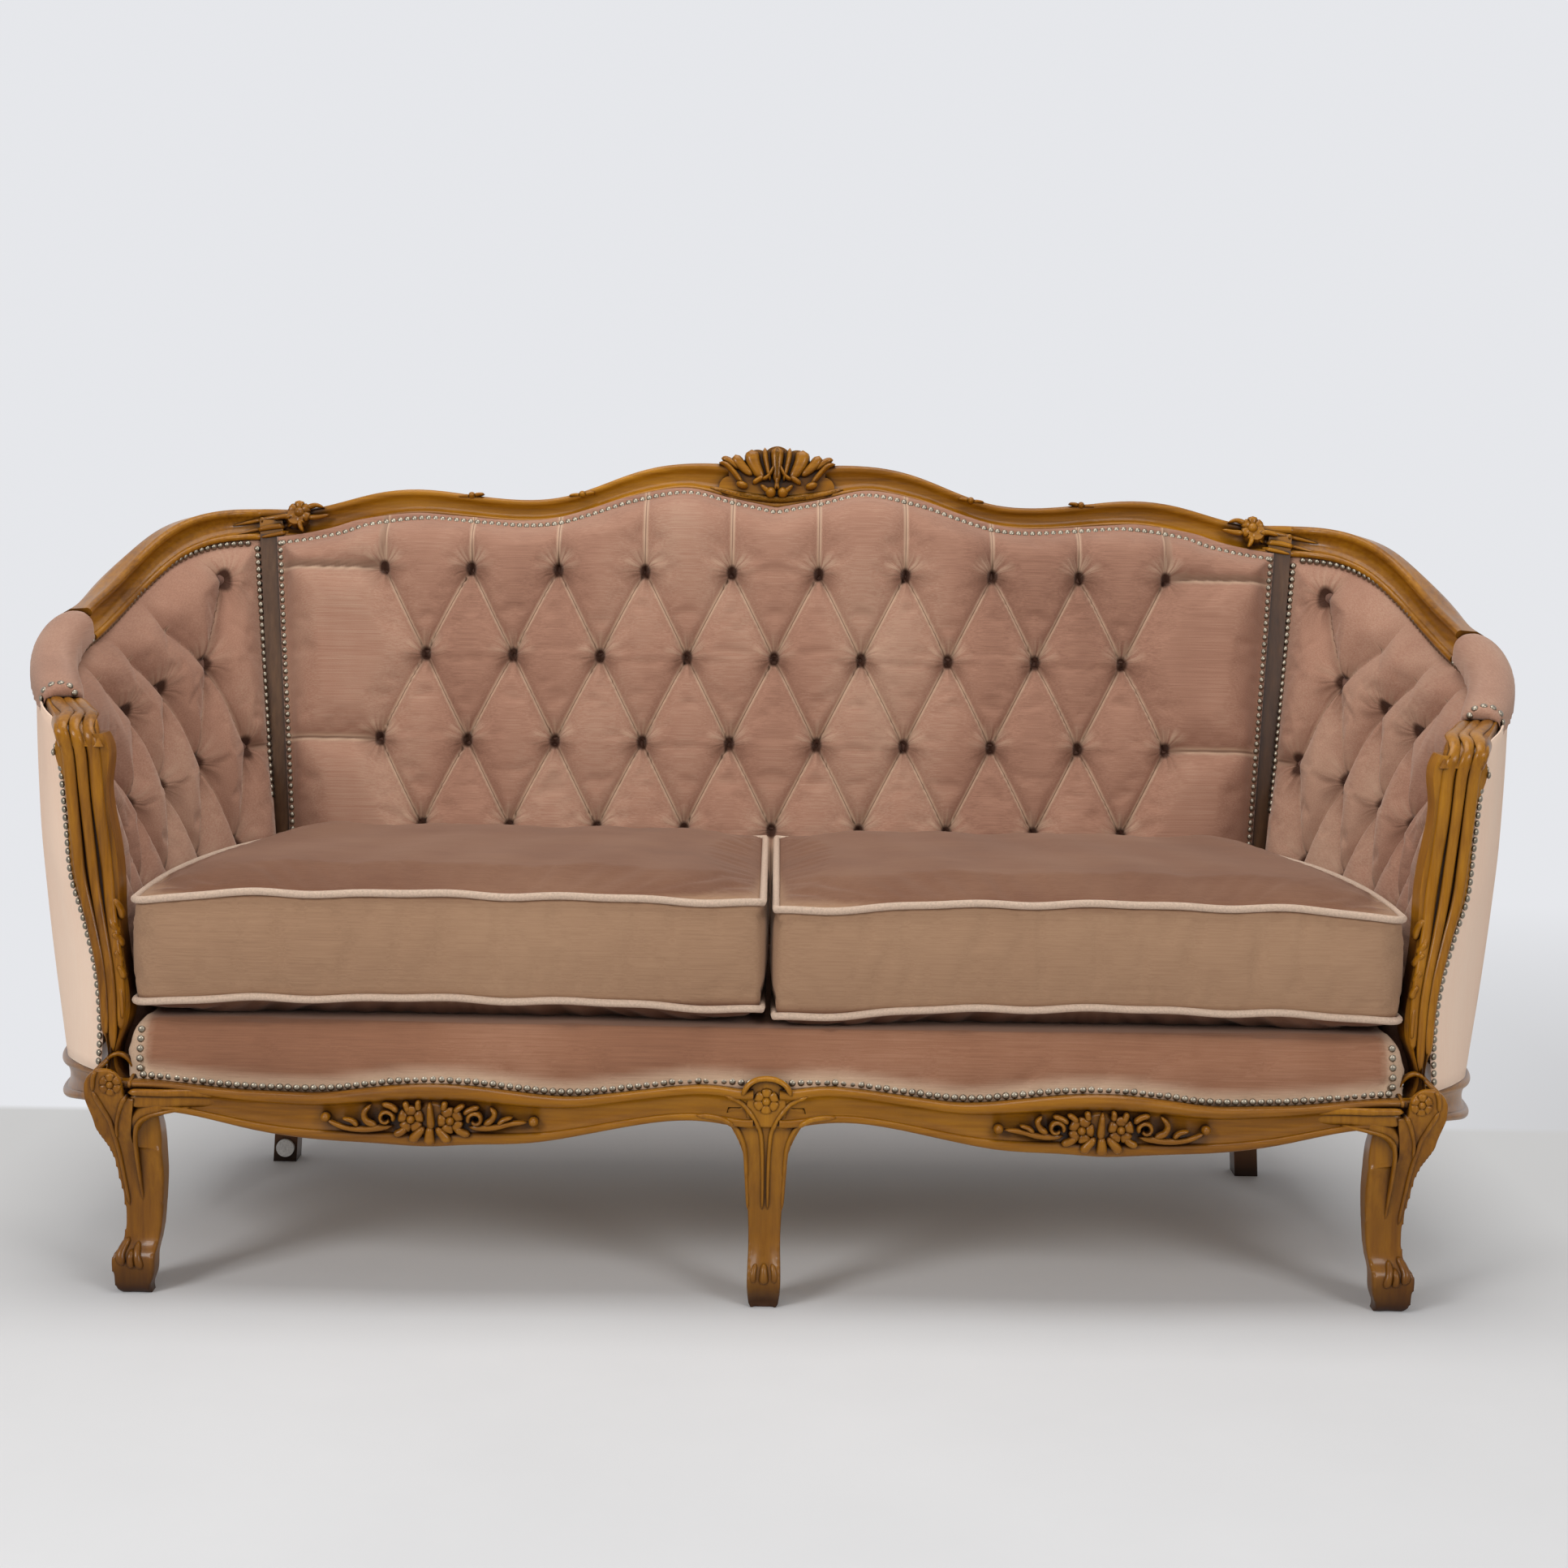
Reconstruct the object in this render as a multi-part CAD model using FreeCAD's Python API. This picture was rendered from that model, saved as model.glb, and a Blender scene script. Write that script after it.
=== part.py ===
import FreeCAD
import Part
import math
import os

# Rococo two-seat sofa: a carved show-wood frame with a buttoned back and wings,
# a sprung platform and two loose box cushions. Millimetres, +Z up, the front faces -Y,
# the origin lies on the floor in the middle of the plan.

Vec = FreeCAD.Vector

# Clearances and cuts
fit_gap = 0.4
overrun = 4.0

# Front and centre legs
front_leg_x = 702.0
front_leg_y = -320.3
knee_outward = 21.0
knee_half = 38.0
centre_leg_front_y = -355.3
centre_leg_half = 42.0
centre_leg_forward = 20.0
block_half_width = 22.0
block_arch_top = 266.0
plaque_thickness = 9.0

# Seat rails
seat_rail_top = 232.0
rail_thickness = 42.0
rail_back_y = -329.3
lip_thickness = 15.0
bead_depth = 5.0
cove_depth = 4.0
front_face_y = -371.3
front_bow = 10.0
lip_top_height = 239.0
lip_top_wave = 17.0
apron_bottom_height = 182.0
apron_bottom_wave = 35.0
apron_flower_x = 370.0
apron_flower_z = 213.0
apron_flower_radius = 26.0
apron_flower_proud = 7.0
side_bulge_x = 849.0
side_front_y = -319.3
side_rear_x = 640.0
side_rear_y = 252.7
side_lip_height = 237.0
side_lip_wave = 13.0
side_bottom_height = 181.0
side_bottom_wave = 26.0
rear_rail_low = 190.0
rear_rail_depth = 26.0
brace_low = 208.0
brace_half_width = 24.0

# Leaning back
seat_back_y = 231.7
seat_back_height = 300.0
recline_degrees = 10.4
post_width = 31.0
post_depth = 36.0
post_knee_height = 190.0
rear_foot_x = 651.0
rear_foot_y = 246.7
post_seat_x = 636.0
post_top_x = 683.0
post_reach = 862.0
crest_half_length = 700.0
crest_end_top = 877.0
crest_top_rise = 72.0
crest_end_bottom = 835.0
crest_bottom_rise = 76.0
crest_thickness = 36.0
crest_bead = 4.5
crest_cove = 5.0
shell_half_width = 80.0
shell_base_height = 905.0
shell_rise = 68.0
shell_proud = 7.0
flower_x = 651.0
flower_radius = 20.0
flower_proud = 8.0
lower_back_low = 322.0
lower_back_high = 368.0
lower_back_thickness = 14.0

# Wing rails, arms and hands
arm_x = 868.0
arm_joint_y = 36.7
arm_joint_top = 753.0
wing_end_height = 44.0
arm_wood_drop = 17.0
arm_width = 40.0
arm_height = 27.0
hand_x = 784.0
hand_y = -293.3
hand_top = 652.0
hand_width = 50.0
hand_radius = 34.0
hand_inward = 15.0
flute_depth = 3.5
support_foot_x = 735.0
support_foot_y = -315.3
support_outward = 35.0
support_backward = 28.0
support_depth = 40.0
support_width = 52.0
support_housing = 20.0

# Upholstery
strap_width = 52.0
strap_thickness = 2.0
strap_spacing = 118.0
strap_count = 10
button_pitch = 116.8
button_row_pitch = 113.5
lowest_button_height = 457.0
button_radius = 8.5
button_thickness = 6.0
pad_border = 12.0
pad_depth = 18.0
pad_shoulder = 32.0
pillow_height = 46.0
crease_height = 26.0
button_seat_height = 8.0
wing_pad_depth = 6.0
wing_rear_y = 221.7
wing_bulge_x = 748.0
wing_front_y = -291.3
cover_thickness = 3.0
cover_bulge = 9.0
arm_pad_width = 53.0
arm_pad_crown = 19.0
arm_pad_skirt = 22.0
platform_top = 315.0
platform_inset = 16.0
platform_half_width = 716.0
cushion_half_gap = 3.0
cushion_outer_x = 716.0
cushion_waist_x = 700.0
cushion_rear_x = 596.0
cushion_front_y = -345.3
cushion_back_y = 190.7
cushion_corner = 24.0
cushion_bottom_seam = 336.0
cushion_top_seam = 457.0
cushion_crown = 18.0
cushion_inset = 70.0
piping_radius = 4.2

# Small parts
foot_cap_radius = 12.0
foot_cap_thickness = 5.0
foot_cap_height = 20.0
dowel_radius = 5.0
dowel_length = 36.0
block_thickness = 24.0
block_reach = 52.0
screw_radius = 2.5
screw_head_radius = 5.0
screw_head_height = 3.0
screw_length = 52.0


def curve_value(table, place):
    """Height of a smooth curve through (place, value) pairs."""
    places = [p for p, _ in table]
    values = [v for _, v in table]
    last = len(table) - 1

    def slope(i):
        before, after = max(i - 1, 0), min(i + 1, last)
        return (values[after] - values[before]) / (places[after] - places[before])

    place = min(max(place, places[0]), places[-1])
    i = max(k for k in range(last) if places[k] <= place)
    width = places[i + 1] - places[i]
    t = (place - places[i]) / width
    level = values[i] + (3 * t**2 - 2 * t**3) * (values[i + 1] - values[i])
    return level + ((t**3 - 2 * t**2 + t) * slope(i) + (t**3 - t**2) * slope(i + 1)) * width


def mirror(shape):
    return shape.mirror(Vec(0, 0, 0), Vec(1, 0, 0))


def line(a, b):
    return Part.makeLine(a, b)


def arc(a, middle, b):
    return Part.Arc(a, middle, b).toShape()


def loop(points):
    return Part.makePolygon(points + points[:1])


def loft(wires, ruled=False):
    return Part.makeLoft(wires, True, ruled)


def box(low, high):
    size = high - low
    return Part.makeBox(size.x, size.y, size.z, low)


def prism(wire, direction):
    return Part.Face(wire).extrude(direction)


def seated(shape, neighbours):
    """The shape coped to its neighbours: what they take up is cut off it."""
    for other in neighbours:
        shape = shape.cut(other)
    return max(shape.Solids, key=lambda s: s.Volume)


def joined(shapes):
    whole = shapes[0]
    for extra in shapes[1:]:
        whole = whole.fuse(extra)
    return max(whole.removeSplitter().Solids, key=lambda s: s.Volume)


# The back leans: heights are taken on its front plane, depths square to that plane.
lean = math.radians(recline_degrees)
plane_up = Vec(0, math.sin(lean), math.cos(lean))
plane_out = Vec(0, -math.cos(lean), math.sin(lean))


def back_y(z):
    return seat_back_y + (z - seat_back_height) * math.tan(lean)


def on_back(x, z, out):
    return Vec(x, back_y(z), z) + plane_out * out


# Show-wood profile: bead, hollow and bead on the face, with a rounded upper back edge.
low_bead_share = 0.22
high_bead_share = 0.74
back_round_share = 0.9
top_round_share = 0.08


def rail_section(top, up, out, height):
    """Outline of a moulded rail hung below the middle of its upper edge."""
    def at(rise, forward):
        return top - up * (height * (1 - rise)) + out * forward

    front = crest_thickness / 2
    face = front - crest_bead
    hollow = face - crest_cove
    half_bead = crest_bead / 2
    a, b, c = at(0, face), at(low_bead_share, face), at(high_bead_share, face)
    d, e, f = at(1, face - crest_bead), at(1, 2 * crest_bead - front), at(back_round_share, -front)
    return Part.Wire([
        line(at(0, -front), a), arc(a, at(low_bead_share / 2, front), b),
        arc(b, at((low_bead_share + high_bead_share) / 2, hollow), c),
        arc(c, at((high_bead_share + 1) / 2 + top_round_share, front - half_bead), d),
        line(d, e), line(e, f), line(f, at(0, -front)),
    ])


# Crest outline along half its length, as shares of the rises of its two edges.
crest_top_shares = [
    (0.0, 0.93), (0.13, 1.0), (0.23, 0.915), (0.314, 0.665), (0.393, 0.36), (0.493, 0.25),
    (0.6, 0.335), (0.693, 0.415), (0.794, 0.3), (0.886, 0.045), (0.943, 0.0), (1.0, 0.0),
]
crest_bottom_shares = [
    (0.0, 0.67), (0.086, 0.83), (0.174, 1.0), (0.283, 0.815), (0.35, 0.605), (0.42, 0.42),
    (0.49, 0.37), (0.62, 0.447), (0.686, 0.474), (0.787, 0.34), (0.841, 0.185), (0.9, 0.065),
    (0.954, 0.0), (1.0, 0.0),
]
crest_station_shares = [0.06, 0.12, 0.175, 0.23, 0.29, 0.35, 0.42, 0.5, 0.6, 0.69, 0.78, 0.85, 0.92, 1.0]
shell_lobes = 7
shell_notch_share = 0.9
shell_root_share = 0.8
boss_top_share = 0.55


def crest_top(x):
    return crest_end_top + crest_top_rise * curve_value(crest_top_shares, abs(x) / crest_half_length)


def crest_bottom(x):
    return crest_end_bottom + crest_bottom_rise * curve_value(crest_bottom_shares, abs(x) / crest_half_length)


def crest_section(x):
    height = (crest_top(x) - crest_bottom(x)) / plane_up.z
    return rail_section(on_back(x, crest_top(x), -crest_thickness / 2), plane_up, plane_out, height)


def crest_shell():
    """The fan on the middle of the crest: lobes set round a half ellipse."""
    root = crest_thickness * shell_root_share
    angles = [math.pi * k / shell_lobes for k in range(shell_lobes + 1)]

    def rim(angle, share):
        x = shell_half_width * share * math.cos(angle)
        return on_back(x, shell_base_height + shell_rise * share * math.sin(angle), -root)

    edges = [arc(rim(a, shell_notch_share), rim((a + b) / 2, 1), rim(b, shell_notch_share))
             for a, b in zip(angles, angles[1:])]
    edges.append(line(rim(math.pi, shell_notch_share), rim(0, shell_notch_share)))
    return prism(Part.Wire(edges), plane_out * (root + shell_proud))


def boss(centre, outward, depth, radius):
    """The raised ground of a carved flower."""
    return Part.makeCone(radius, radius * boss_top_share, depth, centre, outward)


def crest_rail():
    shares = [-s for s in reversed(crest_station_shares)] + [0.0] + crest_station_shares
    parts = [loft([crest_section(s * crest_half_length) for s in shares]), crest_shell()]
    for x in (-flower_x, flower_x):
        middle = (crest_top(x) + crest_bottom(x) + flower_radius) / 2
        parts.append(boss(on_back(x, middle, -crest_thickness / 2), plane_out,
                          crest_thickness / 2 + flower_proud, flower_radius))
    return joined(parts)


# Wing and arm: (sideways, forward, height) shares of the way between their ends.
wing_path_shares = [
    (0.0, 1.0, 1.0), (0.2, 0.975, 0.995), (0.385, 0.915, 0.968), (0.555, 0.83, 0.9), (0.705, 0.705, 0.765),
    (0.83, 0.56, 0.555), (0.92, 0.385, 0.325), (0.975, 0.195, 0.135), (1.0, 0.0, 0.0),
]
arm_path_shares = [
    (1.0, 1.0, 1.0), (1.03, 0.86, 0.88), (0.98, 0.7, 0.71), (0.83, 0.52, 0.5), (0.58, 0.34, 0.3),
    (0.33, 0.18, 0.14), (0.1, 0.05, 0.03),
]
padded_stations = 6
hand_roll_degrees = (0, 45, 90)
joint_slope_share = 0.3
wing_straighten_share = 0.6


def between(start, end, shares):
    return [Vec(end.x + (start.x - end.x) * a, end.y + (start.y - end.y) * b, end.z + (start.z - end.z) * c)
            for a, b, c in shares]


def stations(points, first, last):
    """Point, upward and inward directions at each point of a smooth path."""
    path = Part.BSplineCurve()
    path.interpolate(Points=points, InitialTangent=first, FinalTangent=last)
    found = []
    for point in points:
        tangent = path.tangent(path.parameter(point))[0]
        inward = Vec(tangent.y, -tangent.x, 0)
        inward = inward.normalize() if inward.Length > joint_slope_share else Vec(-1, 0, 0)
        up = inward.cross(tangent).normalize()
        found.append((point, up, tangent.cross(up)))
    return found


joint_tangent = Vec(0, -1, -joint_slope_share)


def wing_frames():
    """Stations of the wing rail; its section stands up straighter towards the arm."""
    start = on_back(crest_half_length, crest_end_top, -crest_thickness / 2)
    end = Vec(arm_x, arm_joint_y, arm_joint_top)
    shares = [(1 - a, b, c) for a, b, c in wing_path_shares]
    raw = stations(between(start, end, shares), Vec(1, 0, 0), joint_tangent)
    found = []
    for k, (point, up, out) in enumerate(raw):
        tilt = lean * (1 - wing_straighten_share * k / (len(raw) - 1))
        found.append((point, up * math.cos(tilt) - out * math.sin(tilt), out * math.cos(tilt) + up * math.sin(tilt)))
    return found


def wing_height(share):
    start = (crest_end_top - crest_end_bottom) / plane_up.z
    return start + (wing_end_height - start) * share


def wing_rail():
    frames = wing_frames()
    last = len(frames) - 1
    return loft([rail_section(p, up, out, wing_height(k / last)) for k, (p, up, out) in enumerate(frames)])


def arm_frames():
    start = Vec(arm_x, arm_joint_y, arm_joint_top - arm_wood_drop)
    end = Vec(hand_x, hand_y, hand_top)
    points = between(start, end, arm_path_shares)
    for degrees in hand_roll_degrees:
        turn = math.radians(degrees)
        points.append(end + Vec(-hand_inward * math.sin(turn), -hand_radius * math.sin(turn),
                                hand_radius * (math.cos(turn) - 1)))
    return stations(points, joint_tangent, Vec(0, 0, -1))


def hand_swell(k):
    """How far a station of the arm has turned into the hand."""
    return max(0, k - padded_stations + 1) / (len(arm_path_shares) + len(hand_roll_degrees) - padded_stations)


def arm_half_width(k):
    base = crest_thickness if k == 0 else arm_width
    return (base + (hand_width - base) * math.sin(hand_swell(k) * math.pi / 2)) / 2


arm_edge_share = 0.88
arm_side_share = 0.6
hand_thin_share = 0.4


def fluted(start, end, inward, depth):
    """Two hollows side by side between two points, or two straight runs where there is no depth."""
    ridge = (start + end) / 2
    if depth == 0:
        return [line(start, ridge), line(ridge, end)]
    return [arc(start, (start + ridge) / 2 + inward * depth, ridge), arc(ridge, (ridge + end) / 2 + inward * depth, end)]


def arm_rail():
    """The arm under its pad, which swells into the rolled and fluted hand."""
    wires = []
    for k, (point, up, out) in enumerate(arm_frames()):
        half = arm_half_width(k)
        height = arm_height * (1 - hand_thin_share * hand_swell(k))

        def at(side, rise):
            return point + out * (half * side) - up * (height * rise)

        edge = arm_edge_share
        wires.append(Part.Wire([
            line(at(-edge, 1), at(edge, 1)), arc(at(edge, 1), at(1, arm_side_share), at(edge, 0)),
            *fluted(at(edge, 0), at(-edge, 0), up * -1, flute_depth * hand_swell(k)),
            arc(at(-edge, 0), at(-1, arm_side_share), at(-edge, 1)),
        ]))
    return loft(wires)


arm_pad_end_share = 0.8


def arm_pad():
    """The padded cap of the arm: a crowned strip with skirts down both sides of the wood."""
    wires = []
    for k, (point, up, out) in enumerate(arm_frames()[:padded_stations]):
        end = k in (0, padded_stations - 1)
        outer = arm_pad_width / 2 * (arm_pad_end_share if end else 1)
        inner = min(arm_half_width(k) + fit_gap, outer - strap_thickness / 2)

        def at(side, rise):
            return point + out * side + up * rise

        shoulder, crown = fit_gap, arm_pad_crown * (arm_pad_end_share if end else 1)
        wires.append(Part.Wire([
            line(at(inner, -arm_pad_skirt), at(outer, -arm_pad_skirt)),
            line(at(outer, -arm_pad_skirt), at(outer, shoulder)),
            arc(at(outer, shoulder), at(0, crown), at(-outer, shoulder)),
            line(at(-outer, shoulder), at(-outer, -arm_pad_skirt)),
            line(at(-outer, -arm_pad_skirt), at(-inner, -arm_pad_skirt)),
            line(at(-inner, -arm_pad_skirt), at(-inner, fit_gap)),
            line(at(-inner, fit_gap), at(inner, fit_gap)),
            line(at(inner, fit_gap), at(inner, -arm_pad_skirt)),
        ]))
    return loft(wires)


# Legs, from floor to seat rail: height, outward or forward swell, and half width.
corner_leg_shares = [
    (0.0, 0.33, 0.47), (0.07, 0.45, 0.57), (0.15, 0.45, 0.645), (0.2, 0.38, 0.62), (0.25, 0.14, 0.55),
    (0.32, 0.0, 0.54), (0.43, -0.05, 0.57), (0.55, 0.0, 0.645), (0.68, 0.14, 0.72), (0.78, 0.38, 0.84),
    (0.88, 0.71, 0.95), (1.0, 1.0, 1.0),
]
centre_leg_shares = [
    (0.0, 0.5, 0.38), (0.08, 0.8, 0.44), (0.16, 0.9, 0.45), (0.22, 0.65, 0.44), (0.29, 0.35, 0.43),
    (0.41, 0.15, 0.44), (0.55, 0.25, 0.48), (0.7, 0.55, 0.54), (0.79, 0.8, 0.64), (0.88, 0.95, 0.86), (1.0, 1.0, 1.0),
]
leg_hollow_share = 0.12
leg_chamfer_share = 0.35


def leg_block(x, front):
    """The square head of a leg with its arched front, where the carved bud sits."""
    low = seat_rail_top - block_half_width
    head = box(Vec(x - block_half_width, front + plaque_thickness, low),
               Vec(x + block_half_width, rail_back_y + lip_thickness, lip_top_height + overrun))
    spring = block_arch_top - block_half_width
    foot, side = [[Vec(x + block_half_width * s, front, z) for s in (-1, 1)] for z in (low, spring)]
    rim = Part.Wire([line(foot[0], foot[1]), line(foot[1], side[1]),
                     arc(side[1], Vec(x, front, block_arch_top), side[0]), line(side[0], foot[0])])
    return head.fuse(prism(rim, Vec(0, plaque_thickness, 0)))


def corner_leg():
    """A cabriole leg with hollowed front and outer faces that meet in an arris."""
    wires = []
    for height, swell, size in corner_leg_shares:
        half = knee_half * size
        x, y = front_leg_x + knee_outward * swell, front_leg_y - knee_outward * swell

        def at(a, b):
            return Vec(x + half * a, y + half * b, seat_rail_top * height)

        hollow, inner = 1 - leg_hollow_share, 1 - 2 * leg_chamfer_share
        wires.append(Part.Wire([
            arc(at(-1, -1), at(0, -hollow), at(1, -1)), arc(at(1, -1), at(hollow, 0), at(1, 1)),
            line(at(1, 1), at(-inner, 1)), line(at(-inner, 1), at(-1, inner)), line(at(-1, inner), at(-1, -1)),
        ]))
    knee = front_leg_y - knee_outward - knee_half
    return joined([loft(wires), leg_block(support_foot_x, knee)])


def centre_leg():
    wires = []
    for height, swell, size in centre_leg_shares:
        half, front = centre_leg_half * size, centre_leg_front_y - centre_leg_forward * swell

        def at(a, y):
            return Vec(half * a, y, seat_rail_top * height)

        hollow = front + centre_leg_half * leg_hollow_share
        wires.append(Part.Wire([
            arc(at(-1, front), at(0, hollow), at(1, front)), line(at(1, front), at(1, rail_back_y)),
            line(at(1, rail_back_y), at(-1, rail_back_y)), line(at(-1, rail_back_y), at(-1, front)),
        ]))
    return joined([loft(wires), leg_block(0, centre_leg_front_y - centre_leg_forward)])


post_foot_shares = [0.0, 0.35, 0.7]
post_back_shares = [0.0, 0.35, 0.7, 1.0]


def post_middle(z):
    """Middle of the rear post: nearly upright below its knee, leaning above."""
    knee_y = back_y(post_knee_height) + post_depth / 2
    if z < post_knee_height:
        share = z / post_knee_height
        return Vec(rear_foot_x + (post_seat_x - rear_foot_x) * share,
                   rear_foot_y + (knee_y - rear_foot_y) * share, z)
    share = (z - post_knee_height) / (crest_end_bottom - post_knee_height)
    return Vec(post_seat_x + (post_top_x - post_seat_x) * share, back_y(z) + post_depth / 2, z)


def rear_post():
    heights = [post_knee_height * s for s in post_foot_shares]
    heights += [post_knee_height + (post_reach - post_knee_height) * s for s in post_back_shares]
    corners = ((-1, -1), (1, -1), (1, 1), (-1, 1))
    wires = [loop([post_middle(z) + Vec(post_width / 2 * a, post_depth / 2 * b, 0) for a, b in corners])
             for z in heights]
    return loft(wires, ruled=True)


# Front rails: lip and lower edge from the centre leg to the corner, as shares of their waves.
lip_top_shares = [
    (0.0, 0.8), (0.07, 1.0), (0.13, 0.95), (0.2, 0.55), (0.3, 0.08), (0.37, 0.3), (0.44, 0.65), (0.52, 0.76),
    (0.6, 0.45), (0.66, 0.08), (0.74, 0.05), (0.82, 0.2), (0.9, 0.55), (1.0, 0.8),
]
apron_bottom_shares = [
    (0.0, 0.75), (0.08, 0.95), (0.13, 1.0), (0.19, 0.85), (0.26, 0.55), (0.33, 0.25), (0.38, 0.14),
    (0.45, 0.08), (0.52, 0.0), (0.59, 0.08), (0.66, 0.14), (0.72, 0.25), (0.79, 0.5), (0.87, 0.88),
    (0.93, 1.0), (1.0, 0.85),
]
apron_stations = 18
apron_start_share = 0.02


def front_y(x):
    return front_face_y - front_bow * (1 - (x / front_leg_x) ** 2)


def apron_section(foot, out, back, low, top):
    """Outline of a seat rail: moulded face, lip above, flat body behind."""
    def at(inward, z):
        return Vec(foot.x - out.x * inward, foot.y - out.y * inward, z)

    first, last = low + (top - low) * low_bead_share, low + (top - low) * high_bead_share
    a, b, c, d = at(bead_depth, low), at(bead_depth, first), at(bead_depth, last), at(bead_depth, top)
    e, f = at(lip_thickness, top), at(lip_thickness, seat_rail_top)
    return Part.Wire([
        line(at(back, low), a), arc(a, at(0, (low + first) / 2), b),
        arc(b, at(bead_depth + cove_depth, (first + last) / 2), c), arc(c, at(0, (last + top) / 2), d),
        line(d, e), line(e, f), line(f, at(back, seat_rail_top)), line(at(back, seat_rail_top), at(back, low)),
    ])


def front_rail():
    wires = []
    for k in range(apron_stations + 1):
        share = apron_start_share + (1 - apron_start_share) * k / apron_stations
        x = support_foot_x * share
        low = apron_bottom_height + apron_bottom_wave * curve_value(apron_bottom_shares, share)
        top = lip_top_height + lip_top_wave * curve_value(lip_top_shares, share)
        wires.append(apron_section(Vec(x, front_y(x), 0), Vec(0, -1, 0), rail_back_y - front_y(x), low, top))
    face = front_y(apron_flower_x)
    flower = boss(Vec(apron_flower_x, face + lip_thickness, apron_flower_z), Vec(0, -1, 0),
                  lip_thickness + apron_flower_proud, apron_flower_radius)
    return joined([loft(wires), flower])


# Side rails in plan (outward, backward), then lip and lower edge as shares of their waves.
side_path_shares = [
    (0.53, 0.0, 1.0, 1.0), (0.75, 0.1, 0.8, 0.8), (0.91, 0.22, 0.3, 0.3), (1.0, 0.4, 0.0, 0.0),
    (0.97, 0.56, 0.1, 0.1), (0.82, 0.72, 0.3, 0.35), (0.52, 0.87, 0.7, 0.75), (0.0, 1.0, 1.0, 1.0),
]


def side_frames(inset):
    """Points on the side rail's face, moved in by inset, and the outward direction at each."""
    points = [Vec(side_rear_x + (side_bulge_x - side_rear_x) * a, side_front_y + (side_rear_y - side_front_y) * b, 0)
              for a, b, _, _ in side_path_shares]
    path = Part.BSplineCurve()
    path.interpolate(points)
    found = []
    for point in points:
        tangent = path.tangent(path.parameter(point))[0]
        out = Vec(tangent.y, -tangent.x, 0).normalize()
        found.append((point - out * inset, out))
    return found


def side_rail():
    wires = []
    for (point, out), (_, _, lip, low) in zip(side_frames(0), side_path_shares):
        wires.append(apron_section(point, out, rail_thickness, side_bottom_height + side_bottom_wave * low,
                                   side_lip_height + side_lip_wave * lip))
    return loft(wires)


# Arm supports from foot to top: (height, outward, backward, width).
support_shares = [
    (0.0, 0.0, 0.0, 0.65), (0.16, 0.0, 0.14, 0.56), (0.32, 0.14, 0.43, 0.64), (0.47, 0.48, 0.75, 0.78),
    (0.58, 0.7, 0.93, 1.0), (0.72, 0.85, 0.9, 0.96), (0.86, 0.94, 0.66, 0.92), (1.0, 1.0, 0.4, 0.92),
]
support_round_share = 0.35


def support_foot_z():
    return lip_top_height + overrun


def support_top_z():
    return hand_top - support_housing


def arm_support():
    """The carved front post of the arm, bowed outward and back, with a fluted front."""
    wires = []
    foot, top = support_foot_z(), support_top_z()
    for height, outward, backward, width in support_shares:
        half = support_width * width / 2
        x, y = support_foot_x + support_outward * outward, support_foot_y + support_backward * backward

        def at(a, b):
            return Vec(x + half * a, y + support_depth / 2 * b, foot + (top - foot) * height)

        side = 1 - support_round_share
        wires.append(Part.Wire([
            line(at(-1, -side), at(-side, -1)), *fluted(at(-side, -1), at(side, -1), Vec(0, 1, 0), flute_depth),
            line(at(side, -1), at(1, -side)), line(at(1, -side), at(1, 1)),
            line(at(1, 1), at(-1, 1)), line(at(-1, 1), at(-1, -side)),
        ]))
    return loft(wires)


# Hidden rails and blocks
def rear_seat_rail():
    front = back_y(seat_rail_top) + fit_gap
    return box(Vec(-post_seat_x, front, rear_rail_low), Vec(post_seat_x, front + rear_rail_depth, seat_rail_top))


def back_board(outline, near, far):
    """A flat piece in the leaning back, between two depths behind its front plane."""
    return prism(loop([on_back(x, z, -far) for x, z in outline]), plane_out * (far - near))


def lower_back_rail():
    reach = post_middle(lower_back_high).x
    near = pad_depth + strap_thickness + fit_gap
    corners = [(-reach, lower_back_low), (reach, lower_back_low), (reach, lower_back_high), (-reach, lower_back_high)]
    return back_board(corners, near, near + lower_back_thickness)


def seat_brace():
    rear = back_y(seat_rail_top) + fit_gap
    return box(Vec(-brace_half_width, rail_back_y, brace_low), Vec(brace_half_width, rear, seat_rail_top))


block_overlap_share = 0.5


def corner_block(corner, inward, backward):
    """A triangular glue block that fills an inner corner of the seat frame."""
    across, depth = Vec(inward * block_reach, 0, 0), Vec(0, backward * block_reach, 0)
    low = corner + Vec(0, 0, seat_rail_top - block_thickness) - across * block_overlap_share
    return prism(loop([low, low + across * (1 + block_overlap_share), low + depth * (1 + block_overlap_share)]),
                 Vec(0, 0, block_thickness - fit_gap))


def screw(corner, inward, backward):
    """A wood screw sunk into the long face of a corner block, towards the block's corner."""
    start = corner + Vec(inward * block_reach, backward * block_reach, 0) / 2
    start.z = seat_rail_top - block_thickness / 2
    direction = Vec(-inward, -backward, 0).normalize()
    shank = Part.makeCylinder(screw_radius, screw_length, start, direction)
    head = Part.makeCone(screw_head_radius, screw_radius, screw_head_height, start, direction)
    return joined([shank, head])


def seat_webbing():
    """Straps from the front rail to the rear rail, on top of both."""
    front, back = rail_back_y - strap_width / 2, back_y(seat_rail_top) + rear_rail_depth / 2
    straps = []
    for k in range(strap_count):
        x = (k - (strap_count - 1) / 2) * strap_spacing
        straps.append(box(Vec(x - strap_width / 2, front, seat_rail_top),
                          Vec(x + strap_width / 2, back, seat_rail_top + strap_thickness)))
    return Part.makeCompound(straps)


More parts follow.
